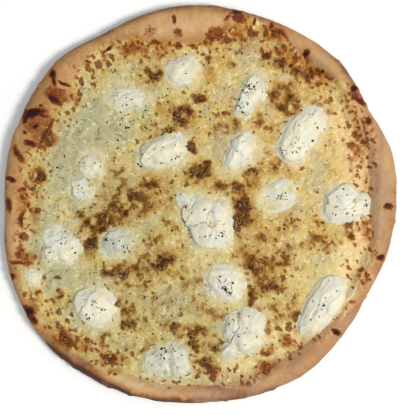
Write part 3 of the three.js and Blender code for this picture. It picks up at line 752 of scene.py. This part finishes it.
def make_crust(material):
    points, normals, skin = crust_points()
    moved, char = crust_detail(points, normals, skin)
    x, y, z = moved[..., 0], moved[..., 1], moved[..., 2]
    up = normals[..., 2]
    layers = toast(x, y)
    ragged = 5 * fbm(x, y, 0, 9, 3, 171) + 3 * layers["golden"] + 3 * layers["spots"]
    film = smooth(-7, 0, cheese_inward(x, y) + ragged - 12 * bareness(x, y))
    sides = smooth(-60, -120, x) + 0.6 * smooth(70, 120, x) * smooth(60, 90, y)
    flour = smooth(0.1, 0.6, fbm(x, y, z, 30, 3, 201)) * (0.6 + 0.6 * noise(x, y, z, 2.2, 202))
    layers |= {
        # how dark it is baked, with painted shade and light on the rim
        "bake_and_shading": crust_bake_and_shading(x, y, z, up),
        "char": char,
        "film": film * smooth(0.2, 0.7, up),
        "flour": np.clip(flour, 0, 1),
        "blush": smooth(-40, 110, x - 0.5 * y),
        "singed": patches(x, y, CHAR, 3.2, 0.8, 4) * sides,
    }
    layers = {key: np.append(values.ravel(), [0.6, 0.6]) for key, values in layers.items()}
    flat = moved.reshape(-1, 3)
    poles = np.array([[0, 0, 0], [0, 0, BASE]])
    faces = ring_faces(*points.shape[:2], len(flat), len(flat) + 1)
    points = np.concatenate([flat, poles])
    return add_piece("pizza_crust", points, faces, layers, ["crust"], material)


# ---- Cheese ----

def cheese_relief(x, y, toasting):
    """Fine relief of the cheese: curds and strands, toasted bubbles, and its rise round the ricotta."""
    strand = 1 - np.abs(noise(x + 0.35 * y, y * 0.5, 0, 4.0, 231))
    relief = layered(x, y, 0, CHEESE_RELIEF) + 0.6 * smooth(0.8, 1.0, strand) * (1 - 0.5 * toasting["pale"])
    return relief + 0.8 * smooth(0.1, 0.6, toasting["spots"]) + 0.5 * toasting["brown"] + near_ricotta(x, y)


def cheese_height(x, y):
    """Height of the cheese's top with all its relief, and what its material reads."""
    toasting = toast(x, y)
    inward = cheese_inward(x, y)
    taper = smooth(-2.5, 4.0, inward + 2.6 * fbm(x, y, 0, 13, 3, 241) - 9 * bareness(x, y))
    crust = crust_top(x, y) + blister_rise(x, y)
    body = cheese_level(x, y) + foot_fillet(x, y) + cheese_relief(x, y, toasting) * smooth(-1, 4, inward)
    height = crust - BURIED + (body - crust + BURIED) * taper
    return height, {**toasting, "milk": milkiness(x, y)}


def cheese_top_faces(at):
    """Two triangles in each square of a grid of point numbers, parted towards its middle."""
    n = len(at) - 1
    a, b, c, d = at[:-1, :-1], at[1:, :-1], at[1:, 1:], at[:-1, 1:]
    i, j = np.meshgrid(np.arange(n), np.arange(n), indexing="ij")
    along = (i < n / 2) == (j < n / 2)
    return [triangles(a, b, np.where(along, c, d)), triangles(np.where(along, a, b), c, d)]


def make_cheese(material):
    """The cheese's top is a grid bent into a disc, and rings under it close it above the crust."""
    n = CHEESE_STEPS
    steps = np.linspace(-1, 1, n + 1)
    share, angle = square_to_disc(*np.meshgrid(steps, steps, indexing="ij"))
    r = share * (cheese_radius(angle) + CHEESE_OVERLAP)
    x, y = r * np.cos(angle), r * np.sin(angle)
    z, layers = cheese_height(x, y)
    top = np.stack([x, y, z], -1).reshape(-1, 3)
    at = np.arange((n + 1) ** 2).reshape(n + 1, n + 1)
    edge = np.concatenate([at[:-1, 0], at[-1, :-1], at[:0:-1, -1], at[0, :0:-1]])
    rings = [top]
    faces = cheese_top_faces(at)
    start = len(top)
    upper = edge
    for share in CHEESE_UNDER_RINGS:
        bx, by = top[edge, 0] * share, top[edge, 1] * share
        bz = np.minimum(crust_top(bx, by) + GAP / 2, cheese_height(bx, by)[0] - CHEESE_LEAST)
        rings.append(np.stack([bx, by, bz], -1))
        lower = start + np.arange(len(edge))
        beside = np.roll(upper, -1)
        faces += [triangles(upper, lower, beside), triangles(beside, lower, np.roll(lower, -1))]
        upper = lower
        start += len(edge)
    rings.append(np.array([[0, 0, BASE + GAP / 2]]))
    faces.append(triangles(upper, start, np.roll(upper, -1)))
    points = np.concatenate(rings)
    unseen = np.zeros(len(points) - len(top))
    layers = {key: np.append(values.ravel(), unseen) for key, values in layers.items()}
    return add_piece("melted_cheese", points, np.concatenate(faces), layers, ["cheese"], material)


# ---- Ricotta ----

def lump_level(x, y):
    """Height of a lump's widest level."""
    return float(cheese_level(np.array([float(x)]), np.array([float(y)]))[0]) - LUMP_SINK


def lump_mesh(bm, lump):
    """Adds an uneven dome, flatter below its widest level."""
    x, y = lump[:2]
    made = bmesh.ops.create_icosphere(bm, subdivisions=4, radius=1.0)["verts"]
    points = np.array([vert.co for vert in made])
    wander = swell(points[:, 0] * 3 + x, points[:, 1] * 3 + y + points[:, 2] * 2, 4)
    points *= (1 + LUMP_WANDER * wander)[:, None]
    points[:, 2] *= np.where(points[:, 2] < 0, LUMP_UNDERSIDE, 1.0)
    px, py = oval_point(lump, points[:, 0], points[:, 1])
    for vert, place in zip(made, zip(px, py, lump_level(x, y) + points[:, 2] * lump[5])):
        vert.co = place


def merged_lumps(name, lumps):
    """One even skin round all the lumps of a spoonful: its points and its faces."""
    bm = bmesh.new()
    for lump in lumps:
        lump_mesh(bm, lump)
    mesh = bpy.data.meshes.new(name + "_lumps")
    bm.to_mesh(mesh)
    bm.free()
    holder = bpy.data.objects.new(name + "_lumps", mesh)
    bpy.context.scene.collection.objects.link(holder)
    remesh = holder.modifiers.new("even", "REMESH")
    remesh.mode = "VOXEL"
    remesh.voxel_size = LUMP_VOXEL
    made = bpy.data.meshes.new_from_object(holder.evaluated_get(bpy.context.evaluated_depsgraph_get()))
    made.calc_loop_triangles()
    points = np.empty(len(made.vertices) * 3)
    made.vertices.foreach_get("co", points)
    faces = np.empty(len(made.loop_triangles) * 3, np.int32)
    made.loop_triangles.foreach_get("vertices", faces)
    bpy.data.objects.remove(holder)
    for spare in (mesh, made):
        bpy.data.meshes.remove(spare)
    return points.reshape(-1, 3), faces.reshape(-1, 3)


def relax(points, faces, times):
    """Evens out the points, which also rounds the necks between lumps."""
    ends = np.concatenate([faces[:, [0, 1]], faces[:, [1, 2]], faces[:, [2, 0]]])
    for _ in range(times):
        total = np.zeros_like(points)
        count = np.zeros(len(points))
        for a, b in ((0, 1), (1, 0)):
            np.add.at(total, ends[:, a], points[ends[:, b]])
            np.add.at(count, ends[:, a], 1)
        points = points + 0.5 * (total / count[:, None] - points)
    return points


def point_normals(points, faces):
    a, b, c = (points[faces[:, k]] for k in range(3))
    cross = np.cross(b - a, c - a)
    normals = np.zeros_like(points)
    for k in range(3):
        np.add.at(normals, faces[:, k], cross)
    return normals / np.maximum(np.linalg.norm(normals, axis=1, keepdims=True), 1e-9)


def neck_fill(points, lumps):
    """How far the skin stands out where lumps run together."""
    x, y, z = points.T
    total = np.zeros(len(points))
    for lump in lumps:
        _, _, length, width, _, height = lump
        u, v = oval_share(x, y, lump)
        w = (z - lump_level(*lump[:2])) / height
        outside = (np.sqrt(u * u + v * v + w ** 2) - 1) * (length + width) / 4
        total += np.exp(-np.clip(outside, -NECK, 40) / NECK)
    return np.clip(NECK * np.log(np.maximum(total, 1)), 0, 0.9 * NECK)


def fold_depth(x, y):
    """How deep the named folds are at each point."""
    wx, wy = wandered(x, y, 2.4, 11, 2, (251, 252))
    depth = np.zeros(x.shape)
    for x1, y1, x2, y2, deep, width in FOLDS:
        dx, dy = x2 - x1, y2 - y1
        share = np.clip(((wx - x1) * dx + (wy - y1) * dy) / (dx * dx + dy * dy), 0, 1)
        distance = np.hypot(wx - x1 - share * dx, wy - y1 - share * dy)
        left = (wy - y1) * dx - (wx - x1) * dy > 0
        depth += deep * smooth(width * np.where(left, FOLD_SLOPE, FOLD_CLIFF), 0, distance)
    return depth


def facet_cut(normals, number):
    """How deep the flat faces left by the spoon cut into the rounded curd, as negative distances."""
    random = np.random.default_rng(FACET_SEED + number)
    ways = random.normal(size=(FACETS, 3))
    ways[:, 2] = np.abs(ways[:, 2]) + np.where(np.arange(FACETS) < FACETS // 2, 0.0, 0.6)
    ways /= np.linalg.norm(ways, axis=1, keepdims=True)
    nearest = (normals @ ways.T).max(axis=1)
    return FACET_RADIUS * np.clip((1 - FACET_DEPTH) / np.maximum(nearest, 0.1) - 1, -FACET_DEPTH, 0)


def curd_layers(x, y, z):
    """Overlapping layers of curd: slow rises that end in sudden small drops."""
    total = 0
    for size, steps, height, seed in CURD_LAYERS:
        place = steps * (noise(x, y, z, size, seed) + 0.2 * noise(x, y, z, size / 3, seed + 1))
        rise = place - np.floor(place)
        total = total + height * (rise - smooth(0.82, 1.0, rise) - 0.4)
    return total


def skirt_reach(x, y, lift, facing):
    """How far the curd runs out over the cheese at its foot: further on its right, where more has melted."""
    ragged = 0.6 + layered(x, y, 0, SKIRT_RELIEF)
    melted = 0.3 + 0.9 * smooth(-0.4, 0.5, facing)
    return SKIRT * melted * smooth(0.55, 0.0, lift) * np.clip(ragged, -0.2, 1.6)


def make_ricotta(number, lumps, material):
    name = f"ricotta_{number:02d}"
    points, faces = merged_lumps(name, lumps)
    points = relax(points, faces, 4)
    normals = point_normals(points, faces)
    fill = neck_fill(points, lumps) * smooth(-0.3, 0.2, normals[:, 2])
    points = relax(points + normals * fill[:, None], faces, 16)
    normals = point_normals(points, faces)
    x, y, z = points.T
    lift = np.clip((z - cheese_height(x, y)[0]) / CURD_RISE, 0, 1)
    out = fbm(x, y, z * 1.5, 15, 2, 261) * 0.6 + layered(x, y, z, CURD_RELIEF)
    out += curd_layers(x, y, z * 1.4) + facet_cut(normals, number)
    out -= FOLD_DEPTH * fold_depth(x, y) * smooth(-0.2, 0.5, normals[:, 2])
    points = points + normals * (out * smooth(-0.1, 0.25, lift))[:, None]
    reach = SPREAD[number - 1] + skirt_reach(x, y, lift, normals[:, 0])
    points[:, :2] += normals[:, :2] * reach[:, None]
    level, _ = cheese_height(points[:, 0], points[:, 1])
    points[:, 2] = np.maximum(points[:, 2], level - RICOTTA_SINK)
    rise = np.clip((points[:, 2] - level) / CURD_RISE, 0, 1)
    layers = {"rise": rise, "dull": np.full(len(points), DULLNESS[number - 1])}
    return add_piece(name, points, faces, layers, [name], material)


# ---- Pepper ----

def seeded(seed):
    """The CAD model's random numbers from 0 to 1."""
    state = seed
    while True:
        state = (state * 1664525 + 1013904223) % 4294967296
        yield state / 4294967296


def cheese_flake_places():
    """Where the CAD model has flakes on the cheese."""
    random = seeded(FLAKE_SEED)
    places = []
    while len(places) < CHEESE_FLAKES:
        angle = 2 * math.pi * next(random)
        r = math.sqrt(next(random)) * (float(cheese_radius(np.array([angle]))[0]) - FLAKE_EDGE)
        x, y = r * math.cos(angle), r * math.sin(angle)
        clear = all(math.hypot(x - lump[0], y - lump[1]) > lump[2] / 2 + FLAKE_CLEARANCE for lump in LUMPS)
        if clear and all(math.hypot(x - px, y - py) > FLAKE_APART for px, py in places):
            places.append((x, y))
    return places


def dollop_flake_places(lumps):
    """Where the CAD model has flakes on a spoonful."""
    places = []
    for i, (x, y, length, width, turn, _) in enumerate(lumps):
        if length < FLAKED_LUMP:
            continue
        for k in range(2):
            angle = math.radians(turn) + i + k * GOLDEN_ANGLE
            reach = FLAKE_REACH * width
            places.append((x + reach * math.cos(angle), y + reach * math.sin(angle)))
    return places


def strewn_places(random):
    """Places of the fine flakes: thick where PEPPER says, and then all over the cheese."""
    places = []
    for row in PEPPER:
        for _ in range(row[5]):
            places.append(oval_point(row, *(2 * random.normal(0, PEPPER_SCATTER, 2))))
    wanted = len(places) + LOOSE_PEPPER
    while len(places) < wanted:
        x, y = random.uniform(-STREWN_REACH, STREWN_REACH, 2)
        if cheese_inward(np.array([x]), np.array([y]))[0] > STREWN_EDGE:
            places.append((x, y))
    return places


def surface_at(places, spoonfuls):
    """The top surface's point and normal at each place, in metres, and whether that is ricotta."""
    graph = bpy.context.evaluated_depsgraph_get()
    trees = [BVHTree.FromObject(piece, graph) for piece in spoonfuls]
    x, y = np.array(places).T
    found = []
    for px, py, level in zip(x, y, cheese_height(x, y)[0]):
        start = Vector(((px + SHIFT[0]) * MM, (py + SHIFT[1]) * MM, 100 * MM))
        hits = [tree.ray_cast(start, Vector((0, 0, -1))) for tree in trees]
        hits = [hit for hit in hits if hit[0] is not None and hit[0].z > level * MM]
        if hits:
            best = max(hits, key=lambda hit: hit[0].z)
            found.append((best[0], best[1], True))
        else:
            found.append((Vector((start.x, start.y, level * MM)), Vector((0, 0, 1)), False))
    return found


def shard_points(place, normal, half_sizes, turn, random):
    """One flake's points: a flat double pyramid over five uneven corners, lying on the surface."""
    across = normal.orthogonal().normalized()
    other = normal.cross(across)
    c, s = math.cos(turn), math.sin(turn)
    shape = SHARD * (1 + random.uniform(-0.25, 0.25, SHARD.shape)) * np.array(half_sizes)
    flat = np.array(across) * c + np.array(other) * s
    side = np.array(other) * c - np.array(across) * s
    points = shape[:, :1] * flat + shape[:, 1:2] * side + shape[:, 2:] * np.array(normal)
    return points + np.array(place) / MM - SHIFT


def make_pepper(spoonfuls, material):
    random = np.random.default_rng(PEPPER_SEED)
    named = []
    for places in [cheese_flake_places()] + [dollop_flake_places(lumps) for lumps in DOLLOPS]:
        named += [(x, y, i * GOLDEN_ANGLE) for i, (x, y) in enumerate(places)]
    found = surface_at([(x, y) for x, y, _ in named] + strewn_places(random), spoonfuls)
    parts = []
    tones = []
    for (_, _, turn), (place, normal, _) in zip(named, found):
        tones.append(random.uniform(0.0, 0.5))
        parts.append(shard_points(place, normal, FLAKE, turn, random))
    least, most = PEPPER_SIZES
    for place, normal, on_ricotta in found[len(named):]:
        half = least + (most - least) * random.uniform() ** 2.2
        sizes = (half, half * random.uniform(0.3, 0.65), half * random.uniform(0.3, 0.5))
        tones.append(random.uniform(0.0, 0.35) if on_ricotta else random.uniform(0.2, 1.0))
        parts.append(shard_points(place, normal, sizes, random.uniform(0, 2 * math.pi), random))
    faces = np.concatenate([SHARD_FACES + i * len(SHARD) for i in range(len(parts))])
    layers = {"tone": np.repeat(tones, len(SHARD))}
    return add_piece("cracked_pepper", np.concatenate(parts), faces, layers, [], material)


# ---- Materials ----

def linear(*screen):
    """The surface colour that looks like the given screen colour, of 0 to 255, under this light."""
    shares = [value / 255 for value in screen]
    lit = [share / 12.92 if share <= 0.04045 else ((share + 0.055) / 1.055) ** 2.4 for share in shares]
    return (*(value / BRIGHTNESS for value in lit), 1.0)


class Shade:
    """A material under construction, with short names for the nodes that it uses."""

    def __init__(self, name):
        self.material = bpy.data.materials.new(name)
        self.material.use_nodes = True
        self.tree = self.material.node_tree
        self.shader = self.tree.nodes["Principled BSDF"]
        self.place = self.tree.nodes.new("ShaderNodeTexCoord").outputs["Object"]

    def join(self, source, socket):
        if isinstance(source, bpy.types.NodeSocket):
            self.tree.links.new(source, socket)
        else:
            socket.default_value = source

    def node(self, kind, inputs, **settings):
        """A new node with the given settings, and with its named or numbered inputs linked or set."""
        node = self.tree.nodes.new("ShaderNode" + kind)
        for key, value in settings.items():
            setattr(node, key, value)
        for key, source in inputs.items():
            self.join(source, node.inputs[key])
        return node

    def attribute(self, name):
        return self.node("Attribute", {}, attribute_name=name).outputs["Fac"]

    def noise(self, size, detail=3.0, roughness=0.55, seed=0.0, twist=0.0):
        inputs = {"Scale": 1 / (size * MM), "Detail": detail, "Roughness": roughness, "Distortion": twist}
        inputs |= {"Vector": self.place, "W": seed}
        return self.node("TexNoise", inputs, noise_dimensions="4D").outputs["Fac"]

    def grains(self, size):
        return self.node("TexVoronoi", {"Scale": 1 / (size * MM), "Vector": self.place}).outputs["Distance"]

    def strands(self, size, width, seed):
        """Thin winding lines: 1 along a line and 0 beside it."""
        away = self.maths("ABSOLUTE", self.maths("SUBTRACT", self.noise(size, 2, 0.5, seed), 0.5))
        return self.spread(away, width, width * 0.3)

    def maths(self, operation, first, second=0.0):
        return self.node("Math", {0: first, 1: second}, operation=operation).outputs[0]

    def times(self, first, second):
        return self.maths("MULTIPLY", first, second)

    def plus(self, first, second):
        return self.maths("ADD", first, second)

    def spread(self, value, low, high, start=0.0, end=1.0):
        inputs = {"Value": value, "From Min": low, "From Max": high, "To Min": start, "To Max": end}
        return self.node("MapRange", inputs, interpolation_type="SMOOTHSTEP").outputs["Result"]

    def uneven(self, size, detail, start, end):
        """Noise that mostly keeps near start or end."""
        return self.spread(self.noise(size, detail), 0.3, 0.7, start, end)

    def ramp(self, value, stops):
        node = self.node("ValToRGB", {"Fac": value})
        elements = node.color_ramp.elements
        while len(elements) < len(stops):
            elements.new(1.0)
        for element, (place, screen) in zip(elements, stops):
            element.position = place
            element.color = linear(*screen)
        return node.outputs["Color"]

    def mix(self, factor, first, second, blend="MIX"):
        inputs = {"Factor": factor, 6: first, 7: second}
        return self.node("Mix", inputs, data_type="RGBA", blend_type=blend).outputs[2]

    def tint(self, colour, screen, factor, share=1.0):
        """The colour with as much of a screen colour mixed in as the factor and the share of it say."""
        return self.mix(factor if share == 1 else self.times(factor, share), colour, linear(*screen))

    def bump(self, height, distance, strength):
        node = self.node("Bump", {"Distance": distance * MM, "Strength": strength, "Height": height})
        self.join(node.outputs["Normal"], self.shader.inputs["Normal"])

    def finish(self, colour, roughness, scatter=0.0, radius=(1.0, 0.6, 0.4), specular=0.5):
        inputs = {"Base Color": colour, "Roughness": roughness, "Specular IOR Level": specular}
        inputs |= {"Subsurface Weight": scatter, "Subsurface Radius": radius, "Subsurface Scale": MM}
        for key, source in inputs.items():
            self.join(source, self.shader.inputs[key])
        return self.material


def melted_colour(shade, ripple):
    """The cheese between the toasted parts: pale to golden, with olive oil and milky melted ricotta, a thin
    edge on the right, and painted light: glints and a lighter foot of the rim on the right.
    """
    pale = shade.attribute("pale")
    colour = shade.ramp(shade.plus(shade.attribute("golden"), shade.times(ripple, 0.18)), CHEESE_COLOURS)
    oil = shade.spread(shade.noise(9.0, 3, 0.6, 7.0, 1.2), 0.50, 0.64)
    colour = shade.tint(colour, OIL, shade.times(oil, shade.spread(pale, 0.0, 1.0, 0.5, 0.15)))
    herbs = shade.spread(shade.noise(7, 2, 0.5, 12.0), 0.5, 0.6)
    colour = shade.tint(colour, HERBS, shade.times(shade.strands(6.0, 0.03, 11.0), herbs), 0.75)
    # Painted light at the foot of the rim on the right.
    colour = shade.tint(colour, SLOPE_LIGHT, shade.attribute("slope_light"), 0.6)
    # The thin edge on the right: partly its own colour, partly painted light.
    colour = shade.tint(colour, THIN_CHEESE_AND_LIGHT, shade.attribute("thin_and_lit"), 0.85)
    clouds = shade.spread(shade.noise(6.0, 2, 0.5, 8.0), 0.35, 0.6, 0.35, 1.0)
    colour = shade.tint(colour, MILK, shade.times(shade.attribute("milk"), clouds))
    few = shade.spread(shade.noise(5, 2, 0.5, 6.0), 0.52, 0.60)
    # Painted highlights: bright winding strands on the pale cheese.
    painted_glints = shade.times(shade.strands(4.5, 0.045, 5.0), few)
    return shade.tint(colour, PAINTED_GLINT, shade.times(painted_glints, shade.spread(pale, 0.0, 1.0, 0.75, 0.6)))


def toast_colour(shade):
    """The cheese's colour: melted, then browned in patches, then in dabs with dark edges."""
    ripple = shade.spread(shade.noise(8.0, 2, 0.5, 1.0, 1.6), 0.3, 0.7, -1.0, 1.0)
    clouds = shade.spread(shade.noise(6.0, 3, 0.5, 4.0, 1.5), 0.35, 0.6, 0.25, 0.8)
    colour = shade.tint(melted_colour(shade, ripple), TAN, shade.times(shade.attribute("halo"), clouds))
    rim = shade.attribute("rim")
    brown = shade.plus(shade.attribute("brown"), shade.times(ripple, 0.07))
    browned = shade.mix(rim, shade.ramp(brown, BROWN_COLOURS), shade.ramp(brown, RIM_BROWN_COLOURS))
    colour = shade.mix(shade.spread(brown, 0.03, 0.68, 0.0, 0.97), colour, browned)
    few = shade.spread(shade.noise(9, 2, 0.5, 3.0), 0.38, 0.48)
    colour = shade.tint(colour, STRANDS, shade.times(shade.strands(7, 0.022, 2.0), few), 0.5)
    torn = shade.spread(shade.noise(3.2, 3, 0.6, 10.0), 0.3, 0.7, -0.2, 0.2)
    spots = shade.plus(shade.attribute("spots"), torn)
    deep = shade.plus(spots, shade.times(shade.attribute("brown"), 0.2))
    dabs = shade.mix(rim, shade.ramp(deep, DAB_COLOURS), shade.ramp(deep, RIM_DAB_COLOURS))
    colour = shade.mix(shade.spread(spots, 0.08, 0.45, 0.0, 0.9), colour, dabs)
    return shade.mix(1.0, colour, shade.mix(shade.attribute("warmth"), LEFT_TINT, RIGHT_TINT), "MULTIPLY")


def crust_material():
    shade = Shade("baked_dough")
    # The crust's baking, with painted shade and light on the rim.
    bake_and_shading = shade.plus(shade.attribute("bake_and_shading"), shade.uneven(3.0, 5, -0.07, 0.07))
    colour = shade.ramp(bake_and_shading, CRUST_COLOURS)
    blush = shade.times(shade.spread(shade.noise(34, 2), 0.40, 0.60, 0.2, 1.0), shade.attribute("blush"))
    colour = shade.tint(colour, BLUSH, blush, 0.6)
    colour = shade.tint(colour, FLOUR, shade.attribute("flour"), 0.3)
    colour = shade.mix(shade.attribute("film"), colour, toast_colour(shade))
    singed = shade.spread(shade.noise(7, 3), 0.35, 0.6, 0.2, 0.9)
    colour = shade.tint(colour, SINGED, shade.times(shade.attribute("singed"), singed))
    char = shade.plus(shade.attribute("char"), shade.uneven(2.6, 4, -0.16, 0.16))
    colour = shade.mix(shade.spread(char, 0.08, 0.5), colour, shade.ramp(char, CHAR_COLOURS))
    shade.bump(shade.plus(shade.noise(1.2, 4), shade.noise(4.5, 2)), 0.25, 0.6)
    return shade.finish(colour, shade.uneven(6, 3, 0.65, 0.85), 0.05, (1.5, 0.8, 0.4), 0.15)


def cheese_material():
    shade = Shade("toasted_cheese")
    colour = toast_colour(shade)
    grain = shade.plus(shade.noise(1.0, 4), shade.times(shade.noise(3.4, 3, 0.5, 0.0, 1.5), 2.0))
    shade.bump(shade.plus(grain, shade.times(shade.strands(7, 0.05, 2.0), 0.8)), 0.3, 0.5)
    return shade.finish(colour, shade.uneven(4.0, 3, 0.32, 0.62), 0.05, (2.2, 1.4, 0.7), 0.15)


def ricotta_material():
    shade = Shade("ricotta_curd")
    rise = shade.plus(shade.attribute("rise"), shade.uneven(3.5, 3, -0.15, 0.15))
    colour = shade.ramp(rise, RICOTTA_COLOURS)
    cool = shade.spread(shade.noise(15.0, 2, 0.5, 21.0), 0.44, 0.60)
    colour = shade.tint(colour, COOL_CURD, cool, 0.5)
    warm = shade.spread(shade.noise(13.0, 2, 0.5, 22.0), 0.50, 0.64)
    colour = shade.tint(colour, WARM_CURD, warm, 0.45)
    streaks = shade.spread(shade.noise(7.0, 3, 0.5, 9.0), 0.35, 0.65, -0.25, 0.25)
    dull = shade.plus(shade.attribute("dull"), streaks)
    colour = shade.tint(colour, DULL_CURD, shade.spread(dull, 0.0, 1.3))
    shade.bump(shade.plus(shade.times(shade.grains(1.7), 0.8), shade.noise(0.9, 4)), 0.2, 0.7)
    return shade.finish(colour, shade.uneven(2.5, 3, 0.42, 0.62), 0.2, (2.5, 2.0, 1.4), 0.25)


def pepper_material():
    shade = Shade("cracked_pepper")
    tone = shade.plus(shade.attribute("tone"), shade.uneven(0.5, 2, -0.15, 0.15))
    shade.bump(shade.noise(0.3, 3), 0.15, 0.8)
    return shade.finish(shade.ramp(tone, PEPPER_COLOURS), 0.65)


# ---- Stage ----

def make_stage():
    half = FLOOR_SIZE / 2 * MM
    mesh = bpy.data.meshes.new("floor")
    corners = [(-half, -half, 0), (half, -half, 0), (half, half, 0), (-half, half, 0)]
    mesh.from_pydata(corners, [], [(0, 1, 2, 3)])
    floor = bpy.data.objects.new("floor", mesh)
    bpy.context.scene.collection.objects.link(floor)
    floor.location.z = -FLOOR_DROP * MM
    shade = Shade("floor_paint")
    paint = shade.mix(shade.uneven(900, 2, 0.0, 1.0), *FLOOR_PAINT)
    mesh.materials.append(shade.finish(paint, 0.9, specular=0.1))


def make_light():
    world = bpy.data.worlds.new("studio")
    world.use_nodes = True
    background = world.node_tree.nodes["Background"]
    background.inputs["Color"].default_value = SKY_COLOUR
    background.inputs["Strength"].default_value = SKY_STRENGTH
    bpy.context.scene.world = world
    light = bpy.data.lights.new("key", "AREA")
    light.shape = "DISK"
    light.size = LIGHT_SIZE * MM
    light.energy = LIGHT_POWER
    light.color = LIGHT_COLOUR
    lamp = bpy.data.objects.new("key", light)
    lamp.location = [value * MM for value in LIGHT_PLACE]
    lamp.rotation_euler = (-lamp.location).to_track_quat("-Z", "Y").to_euler()
    bpy.context.scene.collection.objects.link(lamp)


def make_camera():
    camera_data = bpy.data.cameras.new("camera")
    camera_data.sensor_width = SENSOR
    camera_data.lens = SENSOR * (CAMERA_RISE - CAMERA_LEVEL) / PHOTO_SIZE[1]
    camera = bpy.data.objects.new("camera", camera_data)
    x = PHOTO_SIZE[0] / 2 - PHOTO_MIDDLE[0] + SHIFT[0]
    y = PHOTO_MIDDLE[1] - PHOTO_SIZE[1] / 2 + SHIFT[1]
    camera.location = (x * MM, y * MM, CAMERA_RISE * MM)
    bpy.context.scene.collection.objects.link(camera)
    bpy.context.scene.camera = camera


# ---- The pizza ----

bpy.context.scene.view_settings.view_transform = "Standard"
make_stage()
make_light()
make_camera()
make_crust(crust_material())
make_cheese(cheese_material())
curd = ricotta_material()
ricottas = [make_ricotta(i + 1, lumps, curd) for i, lumps in enumerate(DOLLOPS)]
make_pepper(ricottas, pepper_material())
